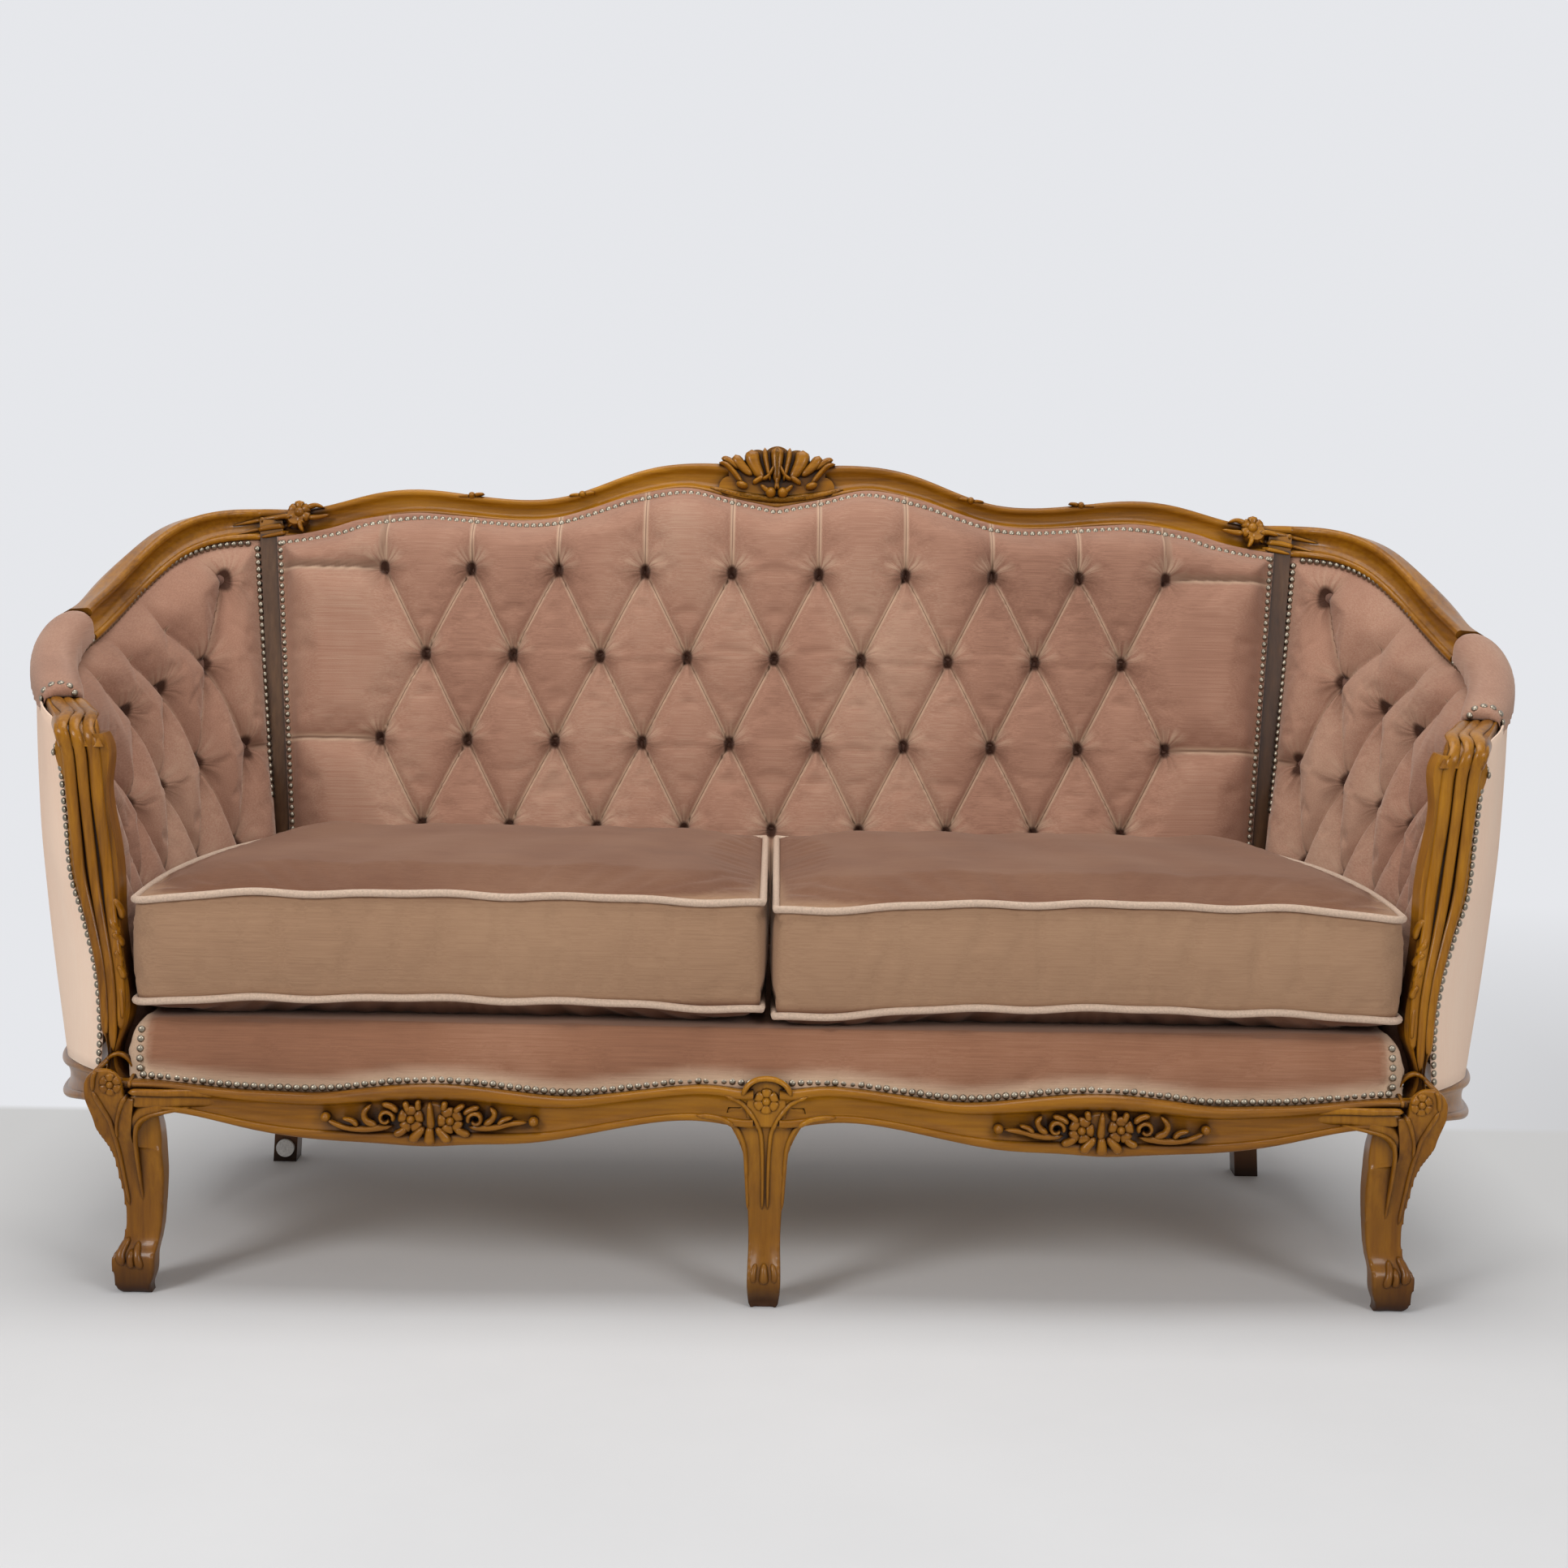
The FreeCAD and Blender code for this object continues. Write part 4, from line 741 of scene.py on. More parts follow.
def railPoints():  # (point, depth of the rail, half width, tilt) from the crest to the front of the arm pad
    base, target = (wingStart.x, wingEnd.y, wingEnd.z), (wingEnd.x, wingStart.y, wingStart.z)
    found = []
    for k, shares in enumerate(wingPathShares[:-1]):
        point = Vector([a + (b - a) * share for a, b, share in zip(base, target, shares)])
        found.append((point, 0.0428 + 0.0012 * k / 8, 0.018, lean * (1 - 0.6 * k / 8)))
    for shares in armPathShares[:-1]:
        point = Vector([a + (b - a) * share for a, b, share in zip(armEnd, armStart, shares)])
        found.append((point, 0.027, 0.02, 0.0))
    return found


def underRails(inward, drop, end):  # a line under the rails, moved towards the sitter
    rails = railPoints()
    line = []
    for k, (point, depth, half, tilt) in enumerate(rails):
        ahead = rails[min(k + 1, len(rails) - 1)][0] - rails[max(k - 1, 0)][0]
        side = Vector((ahead.y, -ahead.x, 0)).normalized() if k else Vector((0, -1, 0))
        up = Vector((0, 0, 1)) * math.cos(tilt) - side * math.sin(tilt)
        line.append(point - up * (depth + drop) + side * (half * inward))
    return measuredAlong(line + [end])


wingTop = underRails(0.3, -0.002, Vector((0.77, -0.2816, 0.6165)))
wingRear, wingBulge = 0.6563, 0.748
wingBase = measuredAlong([(wingRear + (wingBulge - wingRear) * a, -0.2913 + 0.513 * b, 0.2504)
                          for a, b in baseShares])
wingLook = {"columns": 190, "lines": 126, "first": 0.085, "crowd": 1.15, "across": 13,
            "rows": ((0.325, 0.4), (0.535, 0.63), (0.735, 0.87), (0.915, 0.96)), "counts": (5, 5, 3, 1),
            "long": 0.66, "high": 0.48, "seat": 0.004, "fold": 0.014, "pillow": 0.036,
            "pull": 0.026, "roll": 0.015, "round": 0.9, "border": 0.006, "behind": 0.006, "flat": 0.007,
            "ease": 0.016, "pressure": 2.6, "frames": 12, "cap": 0.006, "spare": 0.012, "line": 0.006,
            "dark": 0.8}


def wingPlace(k, row):  # where a button of the wing sits, as shares along and up
    rear, front = wingLook["rows"][row]
    across = k / wingLook["across"]
    return 1 - (1 - wingLook["first"]) * (1 - across) ** wingLook["crowd"], rear + (front - rear) * across


wingSpots = [(*wingPlace(2 * n + (row + 1) % 2, row), 2 * n + (row + 1) % 2, row)
             for row, count in enumerate(wingLook["counts"]) for n in range(count)]


def onWing(share, rise, out):
    foot, head = wingBase(share), wingTop(share)
    step = 0.03
    low = wingBase(min(share + step, 1)) - wingBase(max(share - step, 0))
    high = wingTop(min(share + step, 1)) - wingTop(max(share - step, 0))
    low, high = [Vector((way.y, -way.x, 0)).normalized() for way in (low, high)]
    high = (high + Vector((0, 0, 0.1))).normalized()
    inward = (low * (1 - rise) + high * rise).normalized()
    return foot.lerp(head, rise) + inward * out, inward


def wingFolds(look):
    def flat(share, rise):
        return share * look["long"], rise * look["high"]

    folds = []
    for share, rise, k, row in wingSpots:
        above = [spot for spot in wingSpots if spot[3] == row + 1]
        folds += [(flat(share, rise), flat(*spot[:2])) for spot in above if abs(spot[2] - k) == 1]
        if row == 0:
            folds.append((flat(share, 0), flat(share, rise)))
        if not any(spot[2] == k + 1 for spot in above):  # an open fold that runs up and forward to the rail
            middle = flat(min(share + 0.42 * (1 - rise), 0.97), (1 + rise) / 2 + 0.01)
            folds += [(flat(share, rise), middle), (middle, flat(min(share + 0.6 * (1 - rise), 0.98), 1))]
        if (k, row) == (0, 1):
            folds.append((flat(share, rise), flat(0, rise - 0.01)))
    return folds


def makeWingPad(look):
    grid = [(i / (look["columns"] - 1), j / (look["lines"] - 1)) for j in range(look["lines"])
            for i in range(look["columns"])]
    places = np.array([(a * look["long"], b * look["high"]) for a, b in grid])
    buttons = [(a * look["long"], b * look["high"]) for a, b, _, _ in wingSpots]
    edges = np.array([min(a * look["long"], (1 - a) * look["long"], (1 - b) * look["high"]) for a, b in grid])
    height, relief = tufted(places, buttons, wingFolds(look), edges, look)
    front = [onWing(a, b, h)[0] for (a, b), h in zip(grid, height)]
    back = [onWing(a, b, -look["behind"])[0] for a, b in grid]
    steps, levels = [], []
    for a, b in grid:
        along = 1 - min((1 - a) / (1 - look["first"]), 1) ** (1 / look["crowd"])
        heights = [rear + (ahead - rear) * along for rear, ahead in look["rows"]]
        steps.append(along * look["across"])
        levels.append(float(np.interp(b, heights, range(4))))
    steps, levels = np.array(steps), np.array(levels)
    lattice = ((steps + levels + 1) / 2, (steps - levels + 1) / 2)
    pad = tuftedPad("wingPadRight", front, back, relief, lattice, look)
    placePair(pad, "wingPadLeft", sideVelour, "wing_pad_", 0.75)


makeWingPad(wingLook)
print("wing pads")

armPadLook = {"voxel": 0.0045, "pressure": 3.0, "frames": 10, "cap": 0.003, "spare": 0.01}


def makeArmPads(look):
    pad = softCopy("arm_pad_right", "armPadRight", look["voxel"])
    puff(pad, look, np.zeros(len(pad.data.vertices)) + 0.1)
    placePair(pad, "armPadLeft", sideVelour, "arm_pad_", 0.8)


makeArmPads(armPadLook)
print("arm pads")

coverLook = {"columns": 72, "lines": 30, "bulge": 0.009, "thick": 0.0022, "drawn": 0.28, "flat": (0.72, 0.62)}
supportShares = [(0.0, 0.0, 0.0, 0.65), (0.16, 0.0, 0.14, 0.56), (0.32, 0.14, 0.43, 0.64),
                 (0.47, 0.48, 0.75, 0.78), (0.58, 0.7, 0.93, 1.0), (0.72, 0.85, 0.9, 0.96),
                 (0.86, 0.94, 0.66, 0.92), (1.0, 1.0, 0.4, 0.92)]  # height, way out, way back, width
supportLook = {"foot": 0.243, "high": 0.389, "x": 0.735, "out": 0.035, "half": 0.026, "y": -0.3153,
               "back": 0.028, "proud": (0.0008, -0.0105)}


def supportValue(column, z):
    return columnValue(supportShares, column, (z - supportLook["foot"]) / supportLook["high"])


def supportX(z, reach):  # a place across the arm support, at this reach where the support is widest
    return supportLook["x"] + supportLook["out"] * supportValue(1, z) + reach * supportValue(3, z)


def supportEdge(z):  # outer face of the arm support, near its front
    look = supportLook
    return Vector((supportX(z, look["half"]) + look["proud"][0],
                   look["y"] + look["back"] * supportValue(2, z) + look["proud"][1], z))


def gridArea(rows):
    return round(sum(((low[i + 1] - low[i]).cross(high[i] - low[i])).length
                     for low, high in zip(rows, rows[1:]) for i in range(len(low) - 1)), 4)


def placeCover(cover, node, area, carrier):
    placePiece(cover, outerVelour, "frame", node, slot="outer_velour")


def makeOuterCovers(look):
    path = [Vector((0.64 + 0.209 * a, -0.3193 + 0.572 * b, 0.2374 + 0.013 * lip)) for a, b, lip in sideShares]
    feet = []
    for k, point in enumerate(path):
        ahead = path[min(k + 1, len(path) - 1)] - path[max(k - 1, 0)]
        feet.append(point - Vector((ahead.y, -ahead.x, 0)).normalized() * 0.006)
    base, top = measuredAlong(feet[::-1]), underRails(-1.0, -0.002, Vector((0.7964, -0.2816, 0.6165)))
    rows = []
    for j in range(look["lines"]):
        v = j / (look["lines"] - 1)
        row = []
        for i in range(look["columns"]):
            u = 0.005 + 0.98 * i / (look["columns"] - 1)
            ahead = base(min(u + 0.05, 1)) - base(max(u - 0.05, 0))
            out = Vector((-ahead.y, ahead.x, 0)).normalized()
            bulge = look["bulge"] * math.sin(math.pi * (u + 1) / 3) * 4 * v * (1 - v)
            row.append(base(u).lerp(top(u), v) + out * bulge)
        pull = supportEdge(row[-1].z) - row[-1]
        for i in range(look["columns"]):  # the front edge is drawn in to the arm support
            near = max(0.0, (i / (look["columns"] - 1) - 1 + look["drawn"]) / look["drawn"])
            row[i] += pull * near * near * (3 - 2 * near) + Vector((0, 0, 0.02 * v * v * near))
        rows.append(row)
    inner = [[p + Vector((-look["thick"], -look["thick"] * 0.4, 0)) for p in row] for row in rows]
    cover, area = faceOut(gridShell("outerCoverRight", rows, inner), False), gridArea(rows)
    for obj, side in ((cover, "right"), (mirrored(cover, "outerCoverLeft"), "left")):
        placeCover(obj, "outside_wing_cover_" + side, area, "side_rail_" + side)
    print("outer covers, area", area)


makeOuterCovers(coverLook)

backCoverLook = {"columns": 90, "lines": 30, "low": 0.233, "half": 0.683, "out": -0.0392, "thick": 0.0026,
                 "flat": (1.37, 0.7)}


def makeBackCover(look):
    rows = []
    for j in range(look["lines"]):
        row = []
        for i in range(look["columns"]):
            x = look["half"] * (2 * i / (look["columns"] - 1) - 1)
            z = look["low"] + (crestBottom(x) + 0.004 - look["low"]) * j / (look["lines"] - 1)
            row.append(onBack(x * (stileX(z, 0) / look["half"]), z, look["out"]))
        rows.append(row)
    inner = [[p + planeOut * look["thick"] for p in row] for row in rows]
    cover, area = faceOut(gridShell("backCover", rows, inner), False), gridArea(rows)
    placeCover(cover, "outside_back_cover", area, "rear_post_right")
    print("back cover, area", area)


makeBackCover(backCoverLook)


# Seat platform and cushions

def arcPoints(a, middle, b, count):  # plan points on the circle through three, without the last
    (ax, ay), (mx, my), (bx, by) = a, middle, b
    d = 2 * (ax * (my - by) + mx * (by - ay) + bx * (ay - my))
    ux = ((ax**2 + ay**2) * (my - by) + (mx**2 + my**2) * (by - ay) + (bx**2 + by**2) * (ay - my)) / d
    uy = ((ax**2 + ay**2) * (bx - mx) + (mx**2 + my**2) * (ax - bx) + (bx**2 + by**2) * (mx - ax)) / d
    radius = math.hypot(ax - ux, ay - uy)
    start, end = math.atan2(ay - uy, ax - ux), math.atan2(by - uy, bx - ux)
    through = math.atan2(my - uy, mx - ux)
    turn = (end - start) % (2 * math.pi)
    if (through - start) % (2 * math.pi) > turn:
        turn -= 2 * math.pi
    angles = [start + turn * k / count for k in range(count)]
    return [(ux + radius * math.cos(angle), uy + radius * math.sin(angle)) for angle in angles]


cushionLook = {"left": 0.003, "right": 0.716, "front": -0.3453, "back": 0.1907, "waist": 0.7, "rear": 0.596,
               "corner": 0.024, "lowSeam": 0.336, "topSeam": 0.457, "voxel": 0.0058, "pressure": 3.2,
               "frames": 16, "cap": 0.009, "spare": 0.015, "bend": 0.4,
               "under": [(0.26, 0.3156), (0.1, 0.3157), (0.05, 0.3175), (0.02, 0.325), (0.0075, 0.334)],
               "band": [(0.0062, 0.34), (0.0048, 0.36), (0.004, 0.397), (0.0048, 0.434), (0.0062, 0.453)],
               "crown": [(0.0075, 0.4585), (0.02, 0.4635), (0.045, 0.4685), (0.09, 0.472), (0.16, 0.474),
                         (0.26, 0.4745)]}  # rings of the box, each how far in and how high


def seatOutline(look, inset):  # plan of a cushion, moved in by inset
    left, right = look["left"] + inset, look["right"] - inset
    front, back = look["front"] + inset, look["back"] - inset
    waist, rear, corner = look["waist"] - inset, look["rear"] - inset / 2, look["corner"]
    bend = corner * (1 - math.sqrt(0.5))
    points = arcPoints((right - corner, front), (right - bend, front + bend), (right, front + corner), 8)
    points += arcPoints((right, front + corner), (waist, (front + back) / 2), (rear, back), 60)
    points += [(rear + (left - rear) * k / 60, back) for k in range(60)]
    points += [(left, back + (front - back) * k / 56) for k in range(56)]
    points += [(left + (right - corner - left) * k / 72, front) for k in range(72)]
    return points


def seamLift(x, y, level, look):  # how far a seam rises or drops from level on the finished cushion
    ahead = clipped(-y / 0.3)
    outer = math.exp(-((x - look["right"]) / 0.075) ** 2)
    middle = math.sin(math.pi * clipped(x / look["right"]))
    ripple = 0.0012 * math.sin(31 * x + 2) + 0.0009 * math.sin(57 * x + 17 * y)
    high, low = (0.004, 0.008) if level > 0.4 else (0.007, 0.002)
    return ahead * (high * middle - low * outer) + ripple


def droop(x, y, look, depth):  # the inner front corner hangs a little over the platform
    return -depth * math.exp(-(((x - look["left"]) / 0.16) ** 2 + ((y - look["front"]) / 0.16) ** 2))


def makeCushion(look):
    rings = [[(x, y, z) for x, y in seatOutline(look, inset)]
             for inset, z in look["under"] + look["band"] + look["crown"]]
    points, faces = [p for ring in rings for p in ring], tubeFaces(len(rings), len(rings[0]))
    obj = remeshed(faceOut(addMesh("cushionRight", points, faces)), look["voxel"], 3)
    flat = coordinates(obj.data)
    seams = np.full(len(flat), 9.0)
    for level in (look["lowSeam"], look["topSeam"]):
        line = np.array([(x, y, level) for x, y in seatOutline(look, 0.0075)])
        for k in range(0, len(flat), 4000):
            part = flat[k:k + 4000]
            gap = np.linalg.norm(part[:, None, :] - line[None, :, :], axis=2).min(axis=1)
            seams[k:k + 4000] = np.minimum(seams[k:k + 4000], gap)
    print("  cushion moved", round(puff(obj, look, np.where(seams < 0.006, 1.0, 0.0)), 4))
    flat = coordinates(obj.data)
    return obj, flat


def shapedCushion(points, look, depth):
    out = points.copy()
    for k, (x, y, z) in enumerate(points):
        low, high = seamLift(x, y, look["lowSeam"], look), seamLift(x, y, look["topSeam"], look)
        share = clipped((z - look["lowSeam"]) / (look["topSeam"] - look["lowSeam"]))
        lift = (low * (1 - share) + high * share) * clipped((z - 0.316) / 0.012)
        out[k, 2] = max(0.3155, z + lift + droop(x, y, look, depth))
        out[k, 0] = max(x, 0.0012)
    return out


def finishCushions(look):
    source, flat = makeCushion(look)
    for side, body, depth in (("Right", "cushion_right", 0.009), ("Left", "cushion_left", 0.001)):
        obj = source if side == "Right" else mirrored(source, "cushionLeft")
        shaped = shapedCushion(flat, look, depth)
        if side == "Left":
            shaped[:, 0] *= -1
        setCoordinates(obj.data, shaped)
        low, high = shaped[:, 2] - look["lowSeam"], look["topSeam"] - shaped[:, 2]
        # paler between the two seams
        pointValues(obj, "brushed", np.clip(np.minimum(low + 0.002, high + 0.002) / 0.006, 0, 1))
        placePiece(obj, bandVelour, body, body, slot="velour", fill=0.8)


finishCushions(cushionLook)
print("cushions")

lipTopShares = [(0.0, 0.8), (0.07, 1.0), (0.13, 0.95), (0.2, 0.55), (0.3, 0.08), (0.37, 0.3), (0.44, 0.65),
                (0.52, 0.76), (0.6, 0.45), (0.66, 0.08), (0.74, 0.05), (0.82, 0.2), (0.9, 0.55), (1.0, 0.8)]
platformLook = {"voxel": 0.007, "pressure": 3.0, "frames": 10, "cap": 0.004, "spare": 0.008,
                "low": 0.2344, "high": 0.3149, "half": 0.7}


def lipRise(x):  # height of the front rail's lip over its lowest place
    return 0.017 * curveValue(lipTopShares, abs(x) / 0.735)


def makePlatform(look):
    obj = softCopy("seat_platform", "seatPlatform", look["voxel"])
    flat = coordinates(obj.data)
    puff(obj, look, np.where((flat[:, 2] < 0.245) | (flat[:, 1] > 0.1), 1.0, 0.0))
    flat = coordinates(obj.data)
    flat[:, 2] = np.clip(flat[:, 2], look["low"], look["high"])
    setCoordinates(obj.data, flat)
    edge = np.array([z - 0.239 - lipRise(x) for x, _, z in flat])
    ends = (look["half"] - np.abs(flat[:, 0])) / 0.012
    # paler along the lower edge and at the ends
    pointValues(obj, "brushed", np.clip(1.4 - edge / 0.016, 0, 1) + np.clip(1 - ends, 0, 1))
    placePiece(obj, seatVelour, "frame", "seat_platform", slot="velour", fill=0.85)


makePlatform(platformLook)
print("platform")

# Nails, buttons and piping

def finishTree(tree, shape, outside, finish):  # real geometry with its material, as the tree's result
    whole, painted = [tree.nodes.new("GeometryNode" + kind) for kind in ("RealizeInstances", "SetMaterial")]
    painted.inputs["Material"].default_value = finish
    for source, target in ((shape, whole), (whole, painted), (painted, outside)):
        tree.links.new(source.outputs[0], target.inputs[0])
    return tree


def studTree(name, look, finish):  # domes set along guide lines, or at loose guide points
    tree, inside, outside = nodeTree(name, {key: look[key.lower()] for key in ("Pitch", "Radius", "Flat")})
    link, add = tree.links.new, tree.nodes.new
    points = inside.outputs["Geometry"]
    if look["pitch"]:
        curve, spaced = add("GeometryNodeMeshToCurve"), add("GeometryNodeResampleCurve")
        spaced.mode = "LENGTH"
        link(points, curve.inputs[0])
        link(curve.outputs[0], spaced.inputs["Curve"])
        link(inside.outputs["Pitch"], spaced.inputs["Length"])
        points = spaced.outputs[0]
    outward, turn = add("GeometryNodeInputNamedAttribute"), add("FunctionNodeAlignRotationToVector")
    outward.data_type, turn.axis = "FLOAT_VECTOR", "Z"
    outward.inputs["Name"].default_value = "outward"
    link(outward.outputs[0], turn.inputs["Vector"])
    dome, squash, place = [add("GeometryNode" + kind) for kind in (
        "MeshUVSphere", "Transform", "InstanceOnPoints")]
    dome.inputs["Segments"].default_value, dome.inputs["Rings"].default_value = look["sides"], look["rings"]
    scale = add("ShaderNodeCombineXYZ")
    scale.inputs[0].default_value = scale.inputs[1].default_value = 1.0
    link(inside.outputs["Radius"], dome.inputs["Radius"])
    link(inside.outputs["Flat"], scale.inputs[2])
    link(dome.outputs[0], squash.inputs["Geometry"])
    link(scale.outputs[0], squash.inputs["Scale"])
    link(points, place.inputs["Points"])
    link(squash.outputs[0], place.inputs["Instance"])
    link(turn.outputs[0], place.inputs["Rotation"])
    return finishTree(tree, place, outside, finish)


def pipingTree(look, finish):  # a round cord along each guide line
    tree, inside, outside = nodeTree("pipingTree", {"Radius": look["radius"]})
    link, add = tree.links.new, tree.nodes.new
    curve, ring, tube, smooth = [add("GeometryNode" + kind) for kind in (
        "MeshToCurve", "CurvePrimitiveCircle", "CurveToMesh", "SetShadeSmooth")]
    ring.inputs["Resolution"].default_value = look["sides"]
    link(inside.outputs["Geometry"], curve.inputs[0])
    link(inside.outputs["Radius"], ring.inputs["Radius"])
    link(curve.outputs[0], tube.inputs["Curve"])
    link(ring.outputs[0], tube.inputs["Profile Curve"])
    link(tube.outputs[0], smooth.inputs[0])
    return finishTree(tree, smooth, outside, finish)


def grown(name, tree, look, lines, body, joined=True):
    # lines are lists of (point, outward), each with True if it is a closed loop
    points, edges, outward = [], [], []
    for line, closed in lines:
        first = len(points)
        points += [p for p, _ in line]
        outward += [tuple(d) for _, d in line]
        edges += [(first + k, first + k + 1) for k in range(len(line) - 1)]
        if closed:
            edges.append((len(points) - 1, first))
    mesh = bpy.data.meshes.new(name)
    mesh.from_pydata([tuple(p) for p in points], edges if joined else [], [])
    attribute = mesh.attributes.new("outward", "FLOAT_VECTOR", "POINT")
    attribute.data.foreach_set("vector", np.array(outward, np.float32).ravel())
    obj = linked(name, mesh)
    growth = obj.modifiers.new("growth", "NODES")
    growth.node_group = tree
    for item in tree.interface.items_tree:
        if item.in_out == "INPUT" and item.name.lower() in look:
            growth[item.identifier] = look[item.name.lower()]
    bakeModifiers(obj)
    obj.data.polygons.foreach_set("use_smooth", [True] * len(obj.data.polygons))
    obj.data.update()
    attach(obj, body)
    return obj


def firstHit(origin, way, trees):  # point, normal and distance of the nearest hit of a ray, or None
    best = None
    for tree in trees:
        hit, normal, _, gap = tree.ray_cast(origin, way)
        if hit is not None and (best is None or gap < best[2]):
            best = (hit, normal if normal.dot(way) < 0 else -normal, gap)
    return best


def solidTree(*names):
    return [meshTree(nodes[name].data) for name in names]


nailLook = {"pitch": 0.0095, "radius": 0.0043, "flat": 0.6, "sides": 9, "rings": 6, "lift": 0.0045,
            "crest": 0.667, "stile": (0.44, 0.83), "wing": (0.025, 0.625), "post": (0.42, 0.98),
            "support": (0.262, 0.602), "lip": 0.695, "seatEnd": (0.262, 0.304), "capTurn": 66}


def between(ends, count):
    return [ends[0] + (ends[1] - ends[0]) * k / (count - 1) for k in range(count)]


def castRow(rays, trees, lift, outward=None):  # (point, direction) pairs where rays strike, lifted a little
    hits = [firstHit(Vector(start), Vector(way), trees) for start, way in rays]
    return [(hit[0] + Vector(lift), Vector(outward).normalized() if outward else hit[1])
            for hit in hits if hit]


def backNails(look):
    rows = [[(onBack(x, crestBottom(x) - look["lift"], look["lift"]), planeOut)
             for x in between((-look["crest"], look["crest"]), 201)]]
    for side in (-1, 1):
        rows.append([(onBack(side * (stileX(z, -1) + 0.0035), z, 0.0042), planeOut)
                     for z in between(look["stile"], 61)])
        wing = [onWing(share, 0.992, 0.0078) for share in between(look["wing"], 121)]
        wing = [(point, (way + Vector((0, 0, -0.35))).normalized()) for point, way in wing]
        post = [onWing(0.008, rise, 0.0075) for rise in between(look["post"], 41)]
        rows += [onSide(side, wing), onSide(side, post)]
    return rows


def frontNails(look):
    platform, pad = solidTree("seat_platform"), [meshTree(bpy.data.objects["armPadRight"].data)]
    arms = solidTree("arm_rail_right", "arm_pad_right", "arm_support_right")
    padEnd = min(v.co.y for v in nodes["arm_pad_right"].data.vertices)
    ahead, places = (0, 1, 0), [look["lip"] * k / 240 for k in range(-240, 241)]
    lip = castRow([((x, -0.6, 0.239 + lipRise(x) + look["lift"]), ahead) for x in places],
                  platform, (0, -0.0012, 0), (0, -1, 0.15))
    support = [(supportEdge(z) + Vector((0.0018, -0.0008, 0)), Vector((0.75, -0.66, 0)))
               for z in between(look["support"], 61)]
    seatEnd = castRow([((look["lip"] + 0.004, -0.6, z), ahead) for z in between(look["seatEnd"], 12)],
                      platform, (0, -0.001, 0), (0, -1, 0))
    turns = [math.radians(turn) for turn in between((-look["capTurn"], look["capTurn"]), 40)]
    ways = [Vector((math.sin(turn), 0, math.cos(turn))) for turn in turns]
    cap = castRow([(Vector((0.81, padEnd + 0.011, 0.65)) + way * 0.1, -way) for way in ways], pad, (0, 0, 0))
    hand = castRow([((1.0, -0.24 - 0.072 * t, 0.655 - 0.045 * t), (-1, 0, 0)) for t in between((0, 1), 24)],
                   arms, (0.0018, 0, 0), (1, 0, 0))
    return [lip] + [onSide(side, row) for row in (support, seatEnd, cap, hand) for side in (1, -1)]


def addNails(look):
    rows = [(row, False) for row in backNails(look) + frontNails(look)]
    nails = grown("nailRows", studTree("nailTree", look, nailBrass), look, rows, "frame")
    print("nails", len(nails.data.polygons) // (look["sides"] * look["rings"]))


addNails(nailLook)

buttonLook = {"pitch": 0.0, "radius": 0.0088, "flat": 0.55, "sides": 18, "rings": 10, "lift": 0.0015}


def addButtons(look):
    tree = studTree("buttonTree", look, buttonVelour)
    back = [(onBack(x, z, backLook["seat"] + look["lift"]), planeOut) for row in backButtons for x, z in row]
    wing = [onWing(share, rise, wingLook["seat"] + look["lift"]) for share, rise, _, _ in wingSpots]
    for name, line, node in (("backButtons", back, "back_buttons"),
                             ("wingButtonsRight", onSide(1, wing), "wing_buttons_right"),
                             ("wingButtonsLeft", onSide(-1, wing), "wing_buttons_left")):
        made = grown(name, tree, look, [(line, False)], "frame", joined=False)
        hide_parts(node)


addButtons(buttonLook)

pipingLook = {"radius": 0.0043, "sides": 10, "inset": 0.0042, "lowest": 0.3199}


def addPiping(look):
    tree = pipingTree(look, pipingVelour)
    for side, word, depth in ((1, "right", 0.009), (-1, "left", 0.001)):
        lines = []
        for level in (cushionLook["lowSeam"], cushionLook["topSeam"]):
            line = []
            for x, y in seatOutline(cushionLook, look["inset"]):
                z = level + seamLift(x, y, level, cushionLook) + droop(x, y, cushionLook, depth)
                line.append((Vector((side * x, y, max(z, look["lowest"]))), Vector((0, 0, 1))))
            lines.append((line[::side], True))
        made = grown("cushionPiping" + word.capitalize(), tree, look, lines, "cushion_" + word)
        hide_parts("cushion_piping_" + word)


addPiping(pipingLook)
print("buttons and piping")


# Carved wood; the paths of carved leaves are (x, z) in millimetres

carvedSink = 0.006  # how deep leaves and bosses reach into the wood


def blunted(t, reach, least):  # 1 along the middle, and round down to least at both ends
    near = min(min(t, 1 - t) / reach, 1.0)
    return math.sqrt(max(1 - (1 - near) ** 2, 0.0)) * (1 - least) + least


def rib(parts, line, sides, shape):
    # a closed tube along (point, outward) pairs; shape gives how far a point lies aside and outward
    last, points = len(line) - 1, []
    for k, (base, outward) in enumerate(line):
        ahead = line[min(k + 1, last)][0] - line[max(k - 1, 0)][0]
        side = ahead.cross(outward).normalized()
        for n in range(sides):
            angle = 2 * math.pi * n / sides
            aside, rise = shape(k / last, math.cos(angle), math.sin(angle))
            points.append(base + side * aside + outward * rise)
    parts.append((points, tubeFaces(len(line), sides)))


def frond(parts, cast, path, wide, narrow, high, groove=0.0, steps=14, blunt=0.3):  # a rounded leaf or stem
    def shape(t, across, lift):
        taper = blunted(t, blunt, 0.04)
        half, height = (wide + (narrow - wide) * t) * taper / 2000, high * (0.3 + 0.7 * taper) / 1000
        dip = 1 - groove * math.exp(-(across / 0.35) ** 2)
        return half * across, height * lift * dip if lift > 0 else carvedSink * lift

    line = spline([(x / 1000, 0, z / 1000) for x, z in path], steps)
    rib(parts, [cast(p.x, p.z) for p in line], 10, shape)


